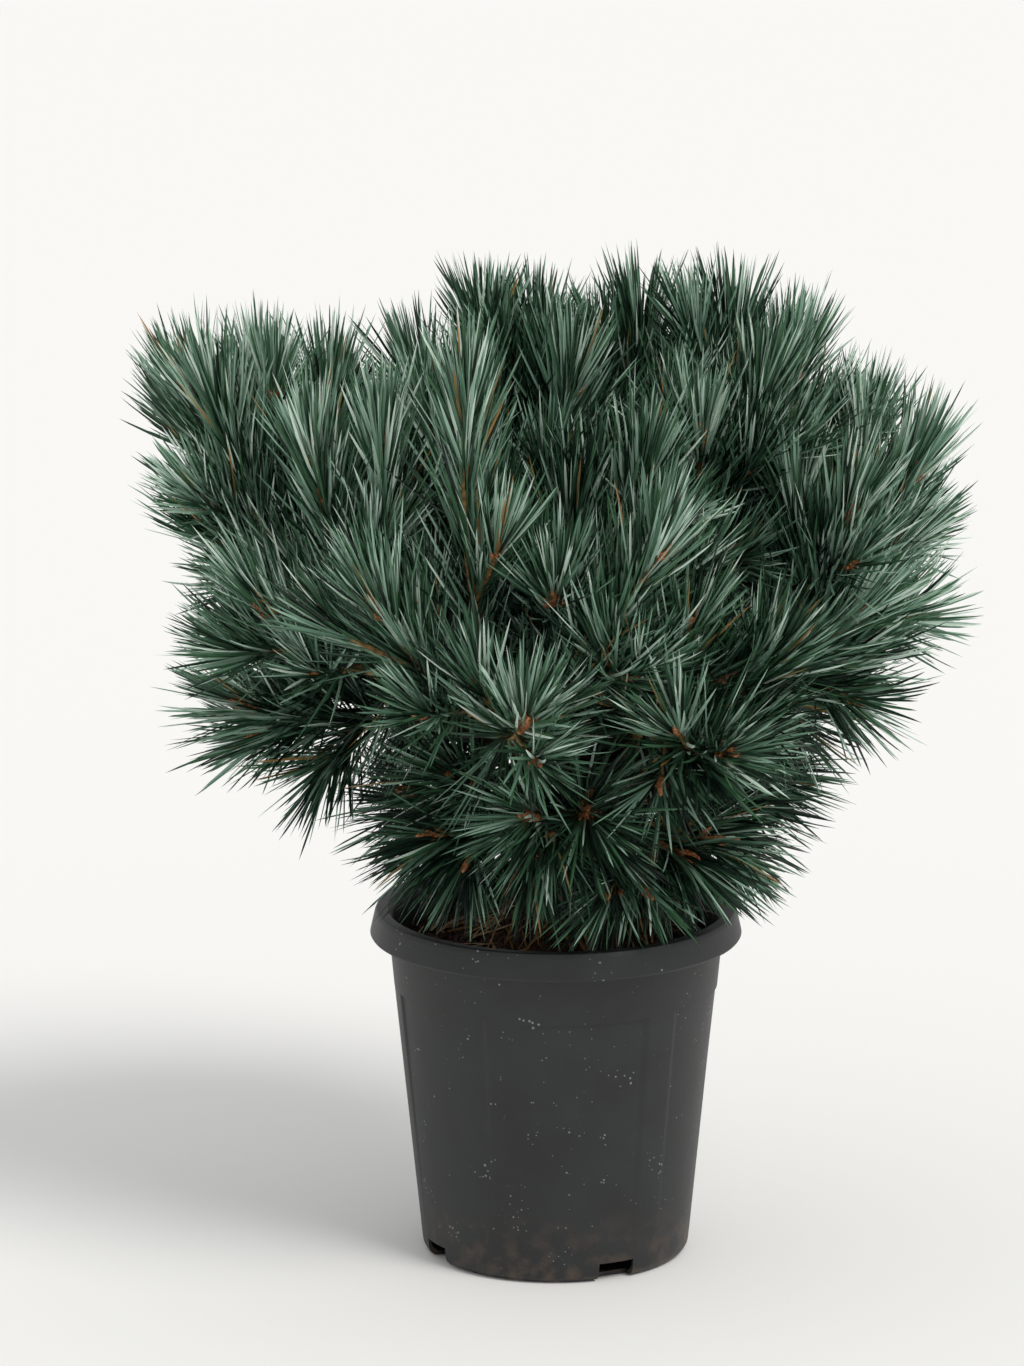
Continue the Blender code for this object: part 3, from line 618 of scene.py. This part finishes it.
def square_to(axis):
    helper = Vector((0, 0, 1)) if abs(axis.z) < 0.9 else Vector((0, 1, 0))
    return axis.cross(helper).normalized()


def skin_along(path, radius_at, sides, relief):
    """Points and faces of a closed skin along a fine path.

    The radius at a share of the way, and the relief at a turn, a distance along
    and a radius, are given as functions. Both ends close to a point.
    """
    first = square_to((path[1] - path[0]).normalized())
    points = []
    gone = 0.0
    for k, centre in enumerate(path):
        heading = (path[min(k + 1, len(path) - 1)] - path[max(k - 1, 0)]).normalized()
        first = (first - heading * first.dot(heading)).normalized()
        second = heading.cross(first)
        gone += (centre - path[k - 1]).length if k else 0.0
        radius = radius_at(k / (len(path) - 1))
        for s in range(sides):
            turn = 2 * math.pi * s / sides
            reach = radius + relief(turn, gone, radius)
            points.append(tuple(centre + (first * math.cos(turn)
                                          + second * math.sin(turn)) * reach))
    rings = len(path)
    points += [tuple(path[0]), tuple(path[-1])]
    faces = grid_faces(rings, sides)
    caps = np.concatenate([fan_faces(rings * sides, 0, sides, flip=True),
                           fan_faces(rings * sides + 1, (rings - 1) * sides, sides, flip=False)])
    return np.array(points), faces, caps


def join_skins(skins):
    """The points and faces of many skins as those of one mesh."""
    points = []
    quads = []
    caps = []
    count = 0
    for skin_points, skin_quads, skin_caps in skins:
        points.append(skin_points)
        quads.append(skin_quads + count)
        caps.append(skin_caps + count)
        count += len(skin_points)
    return np.concatenate(points), [np.concatenate(quads), np.concatenate(caps)]


def bark_relief(turn, gone, radius):
    """Plates and furrows of bark, running along the limb, about 4 mm by 1.5 mm."""
    around = Vector((math.cos(turn), math.sin(turn), 0)) * radius * 520
    around.z = gone * 190
    rough = noise.noise(around)
    fine = noise.noise(around * 2.7)
    return radius * (0.11 * rough + 0.05 * fine) - radius * 0.03


skins = []
path = smooth_path(trunk_path(), BARK_STEP)
path[0] = path[0] - Vector((0, 0, 0.003))
skins.append(skin_along(path, lambda s: trunk_radius(s), 36, bark_relief))
for row in LIMBS:
    path = smooth_path(bough_path(row), BARK_STEP)
    skins.append(skin_along(
        path, lambda s: BOUGH_RADIUS + (BOUGH_TIP_RADIUS - BOUGH_RADIUS) * s, 18, bark_relief))

bark, tree, shader = new_material("rough_pine_bark", "#7a5233", 0.85)
# Young pine bark is tan to rust brown on its ridges and grey brown in its furrows.
place = add_node(tree, "ShaderNodeTexCoord").outputs["Object"]
plates = add_node(tree, "ShaderNodeTexNoise", {"Vector": place, "Scale": 260.0, "Detail": 7.0})
tan = add_node(tree, "ShaderNodeValToRGB", {"Fac": plates.outputs["Fac"]})
tan.color_ramp.elements[0].position = 0.32
tan.color_ramp.elements[0].color = (*linear("#3b2a20"), 1.0)
tan.color_ramp.elements[1].position = 0.70
tan.color_ramp.elements[1].color = (*linear("#9a6f48"), 1.0)
tree.links.new(tan.outputs["Color"], shader.inputs["Base Color"])
plate_bump = add_node(tree, "ShaderNodeBump", {
    "Height": plates.outputs["Fac"], "Strength": 0.7, "Distance": 0.0012})
tree.links.new(plate_bump.outputs["Normal"], shader.inputs["Normal"])

limbs = add_piece("trunk_and_boughs", *join_skins(skins), bark)
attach(limbs, "root")
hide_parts("trunk", *["bough_" + row[0] for row in LIMBS])


# Shoots
# This year's and last year's wood: green brown to rust, knobbly with the raised
# scars of shed needles, branching from a whorl at each bough's tip.

STEM_LENGTH = 0.012
STEM_RADIUS = 0.0040
STEM_SIDES = 10
SHOOT_RADIUS = 0.0030
SHOOT_TIP_RADIUS = 0.0018
SHOOT_LIFT = 26.0
SHOOT_STEPS = 3
FILL_LENGTH = 0.078
FILL_TRIES = 60
SHOOT_SPACING = 0.030
LIMB_SPACING = 0.016
GOLDEN_TURN = 137.508
TWIG_STEP = 0.0022
TWIG_SIDES = 8
SCAR_HEIGHT = 0.00055
SIDE_TWIG_OPEN = 44.0          # angle between a side twig and its shoot
SIDE_TWIG_SHARE = 0.40         # its length as a share of the shoot's
SIDE_TWIG_MOST = 0.046
SIDE_TWIG_RADIUS = 0.0019


def as_segments(pieces):
    starts = np.array([tuple(a) for a, _ in pieces])
    ends = np.array([tuple(b) for _, b in pieces])
    return starts, ends


def distance_to(points, segments):
    """Distance of each point to the nearest of the segments."""
    starts, ends = segments
    run = ends - starts
    offset = points[:, None, :] - starts[None, :, :]
    share = (offset * run).sum(2) / (run * run).sum(1)
    near = starts + np.clip(share, 0.0, 1.0)[:, :, None] * run
    return np.linalg.norm(points[:, None, :] - near, axis=2).min(axis=1)


def samples(path, count):
    return np.array([tuple(along(path, s)[0]) for s in shares(count)])


class Mass:
    """The stem and shoots of one mass of foliage."""

    def __init__(self, row):
        self.name = row[0]
        self.azimuth = row[2]
        self.droop = row[5]
        self.dealt = row[6]
        self.bough = bough_path(row)
        self.heading = (self.bough[-1] - self.bough[-2]).normalized()
        self.foot = self.bough[-1] + self.heading * GAP
        self.whorl = self.foot + self.heading * STEM_LENGTH
        self.shoots = [self.shoot(*seen) for seen in row[7]]

    def shoot(self, azimuth, rise, length):
        return limb_path(self.whorl, azimuth, rise, length, SHOOT_LIFT, SHOOT_STEPS)

    def segments(self):
        pieces = [(self.foot, self.whorl)]
        for path in self.shoots:
            pieces += list(zip(path, path[1:]))
        return as_segments(pieces)


def deal_shoots(masses):
    """Adds shoots by a seeded rule where a mass still has room for them."""
    dice = random.Random(SEED)
    pieces = list(zip(trunk_path(), trunk_path()[1:]))
    for row in LIMBS:
        pieces += list(zip(bough_path(row), bough_path(row)[1:]))
    limb_axes = as_segments(pieces)
    for mass in masses:
        others = [m for m in masses if m is not mass]
        wanted = mass.dealt
        for k in range(FILL_TRIES):
            azimuth = mass.azimuth + GOLDEN_TURN * k + dice.uniform(-20, 20)
            rise = dice.uniform(0, 75) - 45 * mass.droop
            length = FILL_LENGTH * dice.uniform(0.8, 1.2) * (1 - 0.4 * mass.droop)
            if wanted == 0:
                continue
            path = mass.shoot(azimuth, rise, length)
            trail = samples(path, 9)[3:]
            own = distance_to(trail[2:], mass.segments()).min()
            apart = min(distance_to(trail, m.segments()).min() for m in others)
            off_limbs = distance_to(trail, limb_axes).min()
            if own > SHOOT_SPACING and apart > SHOOT_SPACING and off_limbs > LIMB_SPACING:
                mass.shoots.append(path)
                wanted -= 1


def side_twigs(mass, path, number):
    """Short twigs that leave a shoot by the golden turn, carried on from the rule."""
    run = path_length(path)
    count = 2 if run < 0.07 else 3
    dice = random.Random("%s twig %d" % (mass.name, number))
    made = []
    for k in range(count):
        share = 0.22 + 0.52 * k / count + dice.uniform(0, 0.08)
        root, axis = along(path, share)
        first = square_to(axis)
        turn = math.radians(GOLDEN_TURN * (k + number) + dice.uniform(-25, 25))
        side = first * math.cos(turn) + axis.cross(first) * math.sin(turn)
        opening = math.radians(SIDE_TWIG_OPEN * dice.uniform(0.8, 1.2))
        heading = axis * math.cos(opening) + side * math.sin(opening)
        length = min(run * SIDE_TWIG_SHARE, SIDE_TWIG_MOST) * dice.uniform(0.75, 1.15)
        bend = Vector((0, 0, 1)) * (0.3 - mass.droop) * length * 0.4
        middle = root + heading * length * 0.5 + bend * 0.25
        made.append([root, middle, root + heading * length + bend])
    return made


def scar_relief(turn, gone, radius):
    """Raised scars of shed needles, one each 2 mm, wound round by the golden turn."""
    place = gone / TWIG_STEP
    bump = max(0.0, math.cos(turn - math.radians(GOLDEN_TURN) * round(place)))
    return SCAR_HEIGHT * bump ** 4


masses = [Mass(row) for row in LIMBS]
deal_shoots(masses)
skins = []
sprays = []                    # mass, path and kind of wood: bough, shoot or twig
for mass in masses:
    stem = smooth_path([mass.foot, mass.foot.lerp(mass.whorl, 0.5), mass.whorl], TWIG_STEP)
    skins.append(skin_along(stem, lambda s: STEM_RADIUS, STEM_SIDES, scar_relief))
    outer_half = [along(mass.bough, s)[0] for s in (0.5, 0.75, 1.0)]
    sprays.append((mass, outer_half + [mass.whorl], "bough"))
    for number, path in enumerate(mass.shoots):
        fine = smooth_path(path, TWIG_STEP)
        skins.append(skin_along(
            fine, lambda s: SHOOT_RADIUS + (SHOOT_TIP_RADIUS - SHOOT_RADIUS) * s,
            TWIG_SIDES, scar_relief))
        sprays.append((mass, path, "shoot"))
        for twig in side_twigs(mass, path, number):
            fine = smooth_path(twig, TWIG_STEP)
            skins.append(skin_along(fine, lambda s: SIDE_TWIG_RADIUS * (1 - 0.3 * s),
                                    TWIG_SIDES, scar_relief))
            sprays.append((mass, twig, "twig"))

young_bark, tree, shader = new_material("scarred_young_pine_wood", "#8a6238", 0.75)
# Young wood is tan with a green cast, mottled darker and paler.
place = add_node(tree, "ShaderNodeTexCoord").outputs["Object"]
mottle = add_node(tree, "ShaderNodeTexNoise", {"Vector": place, "Scale": 380.0, "Detail": 4.0})
wood = add_node(tree, "ShaderNodeValToRGB", {"Fac": mottle.outputs["Fac"]})
wood.color_ramp.elements[0].position = 0.35
wood.color_ramp.elements[0].color = (*linear("#5b4526"), 1.0)
wood.color_ramp.elements[1].position = 0.68
wood.color_ramp.elements[1].color = (*linear("#b08a52"), 1.0)
tree.links.new(wood.outputs["Color"], shader.inputs["Base Color"])

mass_nodes = ["needles_" + row[0] for row in LIMBS]
twigs = add_piece("shoots_and_twigs", *join_skins(skins), young_bark)
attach(twigs, "root")
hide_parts(*mass_nodes)


# Needles
# Scots pine needles grow in pairs, 5 to 7 cm long and under 2 mm wide, stiff and
# slightly twisted, with a green rounded back and a waxy blue white inner face.

NEEDLE_LENGTH = 0.063
NEEDLE_WIDTH = 0.0019          # a little wider than life, as fewer stand for all
NEEDLE_KEEL = 0.32             # depth of its folded section over its width
YOUNG_LENGTH = 0.86            # share of it at a shoot's tip and on side twigs
PAIRS_PER_METRE = 2150
CROWDING = 0.85                # under 1, needles stand closer towards the tip
PAIR_SPREAD = 9.0              # degrees between the two needles of a pair, halved
NEEDLES_START = 0.10           # share of a shoot where its needles begin
TIP_FROM = 0.93                # and where the tuft at its tip begins
OPEN_AT_FOOT = 50.0            # degrees between a needle and its shoot
OPEN_AT_TIP = 24.0
NEEDLE_RISE = 0.32             # how strongly needles turn up towards the light
NEEDLE_CURVE = 0.10            # how far it bends up, as a share of its length
NEEDLE_TWIST = 0.9             # radians from its foot to its tip
OLD_SHARE = 0.45               # how thickly the outer half of a bough still has needles
OPEN_ON_OLD = 82.0             # which stand square to it
OLD_DROOP = 0.6                # and hang
BARE_SIDE = 0.15               # the side of a shoot that faces out of the crown
BARE_UP_TO = 0.80              # has shed its needles up to this share
BARE_SHARE = 0.70              # in this part
MOST_NEEDLES = 13500           # in one piece, to keep it under 200,000 triangles
CAD_MARGIN = 0.007             # how far needle tips may pass the solids' box
PEAT_ROOM = 0.001              # how near the peat and the pot's wall a needle comes
RIM_ROOM = 0.006               # and how near the top of the rim
STATIONS = (0.0, 0.28, 0.62, 0.88)      # shares of a needle's length
STATION_WIDTHS = (0.55, 1.0, 0.92, 0.55)

# A needle's tone, from 0 for deep shade to 1 for thick wax, rises with its height in the
# crown and its reach from the middle, which paints light on the crown's top and outside
# and paints shade inside it, and with its place along the shoot, and then varies from
# spray to spray and from needle to needle.
CROWN_MIDDLE = 0.005
CROWN_REACH = 0.24
CROWN_LOW = 0.22
CROWN_HIGH = 0.58
TONE_LOWEST = 0.06
PAINTED_LIGHT_BY_HEIGHT = 0.30
PAINTED_LIGHT_BY_REACH = 0.20
TONE_BY_AGE = 0.12
TONE_BY_SPRAY = 0.09
TONE_BY_NEEDLE = 0.27
DEAD_SHARE = 0.010
DEAD_TONE = -1.0


def blades(roots, headings, sides, lengths, bends):
    """Points and faces of many needles, each a folded blade that ends in a point."""
    count = len(roots)
    ups = np.cross(headings, sides)
    rows = []
    for t, width in zip(STATIONS, STATION_WIDTHS):
        centre = roots + headings * (lengths * t)[:, None] + bends * (lengths * t * t)[:, None]
        turn = NEEDLE_TWIST * t
        across = sides * math.cos(turn) + ups * math.sin(turn)
        fold = ups * math.cos(turn) - sides * math.sin(turn)
        half = NEEDLE_WIDTH * width / 2
        rows += [centre - across * half, centre - fold * (half * 2 * NEEDLE_KEEL),
                 centre + across * half]
    rows.append(roots + headings * lengths[:, None] + bends * lengths[:, None])
    points = np.stack(rows, axis=1)
    per = points.shape[1]
    quads = []
    for k in range(len(STATIONS) - 1):
        a = k * 3
        quads += [(a, a + 1, a + 4, a + 3), (a + 1, a + 2, a + 5, a + 4)]
    a = (len(STATIONS) - 1) * 3
    tips = [(a, a + 1, per - 1), (a + 1, a + 2, per - 1)]
    offsets = (np.arange(count) * per)[:, None, None]
    return (points.reshape(-1, 3), (np.array(quads)[None] + offsets).reshape(-1, 4),
            (np.array(tips)[None] + offsets).reshape(-1, 3))


def unit(vectors):
    return vectors / np.linalg.norm(vectors, axis=-1, keepdims=True)


def clear_of_pot(points):
    """True for each point that is above the peat and neither in nor over the pot's rim."""
    reach = np.hypot(points[:, 0], points[:, 1])
    from_trunk = np.hypot(points[:, 0] - TRUNK_FOOT.x, points[:, 1] - TRUNK_FOOT.y)
    t = np.clip((from_trunk - HEAP_FLAT_RADIUS) / (HEAP_RADIUS - HEAP_FLAT_RADIUS), 0, 1)
    ground = PEAT_TOP + (PEAT_EDGE - PEAT_TOP) * t * t * (3 - 2 * t)
    inner = POT_FOOT_RADIUS + POT_DRAFT * points[:, 2] - POT_WALL
    in_peat = (reach < RIM_LIP_RADIUS) & (points[:, 2] < ground + PEAT_ROOM)
    at_rim = (points[:, 2] < POT_HEIGHT + RIM_ROOM) & (reach > inner - PEAT_ROOM)
    return ~(in_peat | at_rim)


dice = np.random.default_rng(SEED + 1)
grown = {key: [] for key in ("root", "heading", "side", "length", "bend", "tone")}
for mass, path, wood in sprays:
    old = wood == "bough"
    run = path_length(path)
    start = 0.0 if old else NEEDLES_START
    count = int(run * (1 - start) * PAIRS_PER_METRE * (OLD_SHARE if old else 1.0))
    spot = start + (1 - start) * dice.uniform(0, 1, count) ** CROWDING
    steps = len(path) - 1
    knots = np.array([tuple(p) for p in path])
    k = np.minimum((spot * steps).astype(int), steps - 1)
    part = spot * steps - k
    axis = unit(knots[k + 1] - knots[k])
    root = knots[k] + (knots[k + 1] - knots[k]) * part[:, None]
    helper = np.where(np.abs(axis[:, 2:]) < 0.9, np.array([[0.0, 0.0, 1.0]]),
                      np.array([[0.0, 1.0, 0.0]]))
    first = unit(np.cross(axis, helper))
    turn = dice.uniform(0, 2 * np.pi, count)[:, None]
    out = first * np.cos(turn) + np.cross(axis, first) * np.sin(turn)
    outward = unit(np.array([[path[-1].x - TRUNK_FOOT.x, path[-1].y - TRUNK_FOOT.y, 0.0]]))
    faces_out = (out * outward).sum(1) > BARE_SIDE
    shed = faces_out & (spot < BARE_UP_TO) & (dice.uniform(0, 1, count) < BARE_SHARE) & (not old)
    opening = OPEN_AT_FOOT + (OPEN_AT_TIP - OPEN_AT_FOOT) * spot
    opening = opening * dice.uniform(0.55, 1.3, count)
    if old:
        opening = OPEN_ON_OLD * dice.uniform(0.8, 1.15, count)
    at_tip = (spot > TIP_FROM) & (not old)
    opening = np.where(at_tip, opening * dice.uniform(0.1, 1.4, count), opening)
    length = NEEDLE_LENGTH * dice.uniform(0.80, 1.10, count)
    length = np.where(at_tip, length * YOUNG_LENGTH, length)
    length = length * (YOUNG_LENGTH if wood == "twig" else 1.0)
    droop = max(mass.droop, OLD_DROOP) if old else mass.droop
    spray_tone = dice.normal(0.0, TONE_BY_SPRAY)
    for sign in (-1.0, 1.0):
        angle = np.radians(opening + sign * dice.uniform(0.2, 1.0, count) * PAIR_SPREAD)[:, None]
        heading = axis * np.cos(angle) + out * np.sin(angle)
        swing = np.radians(dice.normal(0, 9, count))[:, None]
        heading = unit(heading + np.cross(axis, out) * np.tan(swing))
        heading[:, 2] -= droop * dice.uniform(0.2, 1.0, count)
        heading[:, 2] += NEEDLE_RISE * max(0.0, 1.0 - 2.0 * droop)
        heading = unit(heading)
        side = unit(np.cross(heading, axis) + dice.normal(0, 0.25, (count, 3)))
        side = unit(side - heading * (side * heading).sum(1)[:, None])
        lift = np.zeros((count, 3))
        lift[:, 2] = NEEDLE_CURVE * (1.0 - 2.6 * droop) * dice.uniform(0.2, 1.6, count)
        lift += dice.normal(0, 0.05, (count, 3))
        tip = root + heading * length[:, None] + lift * length[:, None]
        halfway = root + heading * (length * 0.6)[:, None] + lift * (length * 0.36)[:, None]
        keep = clear_of_pot(tip) & clear_of_pot(halfway) & ~shed
        for way in range(3):
            keep &= tip[:, way] < cad_box[1][way] + CAD_MARGIN
            keep &= tip[:, way] > cad_box[0][way] - CAD_MARGIN
        # Painted light and shade: needles high in the crown and far from its middle get paler tones,
        # those low and inside it darker ones.
        outer = np.hypot(tip[:, 0] - CROWN_MIDDLE, tip[:, 1]) / CROWN_REACH
        high = (tip[:, 2] - CROWN_LOW) / (CROWN_HIGH - CROWN_LOW)
        tone = TONE_LOWEST + PAINTED_LIGHT_BY_HEIGHT * high + PAINTED_LIGHT_BY_REACH * outer + TONE_BY_AGE * spot
        tone = np.clip(tone + spray_tone + dice.normal(0, TONE_BY_NEEDLE, count), 0, 0.999)
        tone = np.where(dice.uniform(0, 1, count) < DEAD_SHARE, DEAD_TONE, tone)
        for key, values in (("root", root), ("heading", heading), ("side", side),
                            ("length", length), ("bend", lift), ("tone", tone)):
            grown[key].append(values[keep])
grown = {key: np.concatenate(values) for key, values in grown.items()}

# Live needles are a waxy cuticle over dark green: blue white where the wax is thick
# on young tips, where the palest tone is partly a painted highlight, deep green inside
# the crown, where the darker tones are partly painted shade, and tan once dead.
TONES = (
    ("dead_tan", "#a8844f", -2.0, 0.0),
    ("shaded_green", "#12251a", 0.0, 0.20),
    ("deep_green", "#274532", 0.20, 0.36),
    ("leaf_green", "#446a4c", 0.36, 0.52),
    ("blue_green", "#698d76", 0.52, 0.68),
    ("waxy_blue", "#9dbda9", 0.68, 0.84),
    ("pale_wax", "#d3e6d8", 0.84, 2.0),
)
for tone_name, code, lowest, highest in TONES:
    leaf, tree, shader = new_material("waxy_pine_needle_" + tone_name, code, 0.38, ior=1.45)
    chosen = np.nonzero((grown["tone"] >= lowest) & (grown["tone"] < highest))[0]
    for number in range(0, len(chosen), MOST_NEEDLES):
        part = chosen[number:number + MOST_NEEDLES]
        points, quads, tips = blades(*[grown[key][part] for key in
                                       ("root", "heading", "side", "length", "bend")])
        name = "needles_%s_%d" % (tone_name, number // MOST_NEEDLES + 1)
        piece = add_piece(name, points, [quads, tips], leaf, smooth=False)
        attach(piece, "root")
        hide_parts(*mass_nodes)


# Buds
# Winter buds sit at each shoot's tip: one large pointed bud and a few small ones
# round it, of overlapping rust brown scales glazed with pale resin.

BUD_LENGTH = 0.019
BUD_RADIUS = 0.0042
BUD_SUNK = 0.001               # how deep it sits in the tip of the wood
BUD_RINGS = 7                  # few, as the many buds together stay a light mesh
BUD_SIDES = 10


def bud_skin(root, heading, size):
    """A pointed bud whose scales wind round it."""
    path = [root + heading * (BUD_LENGTH * size * k / BUD_RINGS) for k in range(BUD_RINGS + 1)]

    def radius_at(share):
        return BUD_RADIUS * size * math.sin(math.pi * (0.22 + 0.78 * share)) ** 0.8 + 0.00005

    def scales(turn, gone, radius):
        ring = round(gone / (BUD_LENGTH * size / BUD_RINGS))
        return radius * 0.13 * math.cos(5 * turn + ring * 2.2)

    return skin_along(path, radius_at, BUD_SIDES, scales)


dice = random.Random(SEED + 2)
skins = []
for _, path, wood in sprays:
    if wood == "bough":
        continue
    on_twig = wood == "twig"
    tip, heading = path[-1], (path[-1] - path[-2]).normalized()
    size = dice.uniform(0.55, 0.75) if on_twig else dice.uniform(0.85, 1.15)
    skins.append(bud_skin(tip - heading * BUD_SUNK, heading, size))
    for k in range(1 if on_twig else 3):
        first = square_to(heading)
        turn = math.radians(GOLDEN_TURN * k + dice.uniform(0, 60))
        side = first * math.cos(turn) + heading.cross(first) * math.sin(turn)
        lean = (heading + side * dice.uniform(0.5, 0.9)).normalized()
        skins.append(bud_skin(tip + side * BUD_SUNK - heading * (BUD_SUNK * 2), lean,
                              size * dice.uniform(0.45, 0.65)))

resin, tree, shader = new_material("resin_glazed_bud_scales", "#b8703f", 0.45)
# Dry bud scales are rust brown, paler where the resin on them has whitened.
place = add_node(tree, "ShaderNodeTexCoord").outputs["Object"]
scaly = add_node(tree, "ShaderNodeTexNoise", {"Vector": place, "Scale": 700.0, "Detail": 2.0})
rust = add_node(tree, "ShaderNodeValToRGB", {"Fac": scaly.outputs["Fac"]})
rust.color_ramp.elements[0].position = 0.38
rust.color_ramp.elements[0].color = (*linear("#8a4524"), 1.0)
rust.color_ramp.elements[1].position = 0.66
rust.color_ramp.elements[1].color = (*linear("#d79a68"), 1.0)
tree.links.new(rust.outputs["Color"], shader.inputs["Base Color"])
buds = add_piece("winter_buds", *join_skins(skins), resin)
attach(buds, "root")


# Litter
# Needles shed in other years, dry and tan, lie on the peat and against the stem.

LITTER_COUNT = 170
LITTER_AHEAD = 0.02            # the peat's slope is taken over this distance

dice = np.random.default_rng(SEED + 3)
share = np.sqrt(dice.uniform(0.03, 0.80, LITTER_COUNT))
turn = dice.uniform(0, 2 * np.pi, LITTER_COUNT)
x = np.cos(turn) * edge * share
y = np.sin(turn) * edge * share
z = np.array([peat_height(a, b) for a, b in zip(x, y)]) + dice.uniform(0.001, 0.003, LITTER_COUNT)
spin = dice.uniform(0, 2 * np.pi, LITTER_COUNT)
length = dice.uniform(0.03, 0.05, LITTER_COUNT)
ahead_z = np.array([peat_height(a + math.cos(s) * LITTER_AHEAD, b + math.sin(s) * LITTER_AHEAD)
                    for a, b, s in zip(x, y, spin)])
tilt = np.clip((ahead_z - z) / LITTER_AHEAD + 0.1, -0.9, 0.9)
heading = unit(np.stack([np.cos(spin), np.sin(spin), tilt], axis=1))
side = unit(np.cross(heading, np.array([[0.0, 0.0, 1.0]])))
root = np.stack([x, y, z], axis=1)
tip = root + heading * length[:, None]
keep = np.hypot(tip[:, 0], tip[:, 1]) < edge - 0.002
bend = dice.normal(0, 0.03, (LITTER_COUNT, 3))
points, quads, tips = blades(root[keep], heading[keep], side[keep], length[keep], bend[keep])
straw, tree, shader = new_material("dry_shed_needle", "#94703f", 0.7)
# A dead needle has lost its wax and is a dull straw brown all over.
litter = add_piece("shed_needles", points, [quads, tips], straw)
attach(litter, "root")
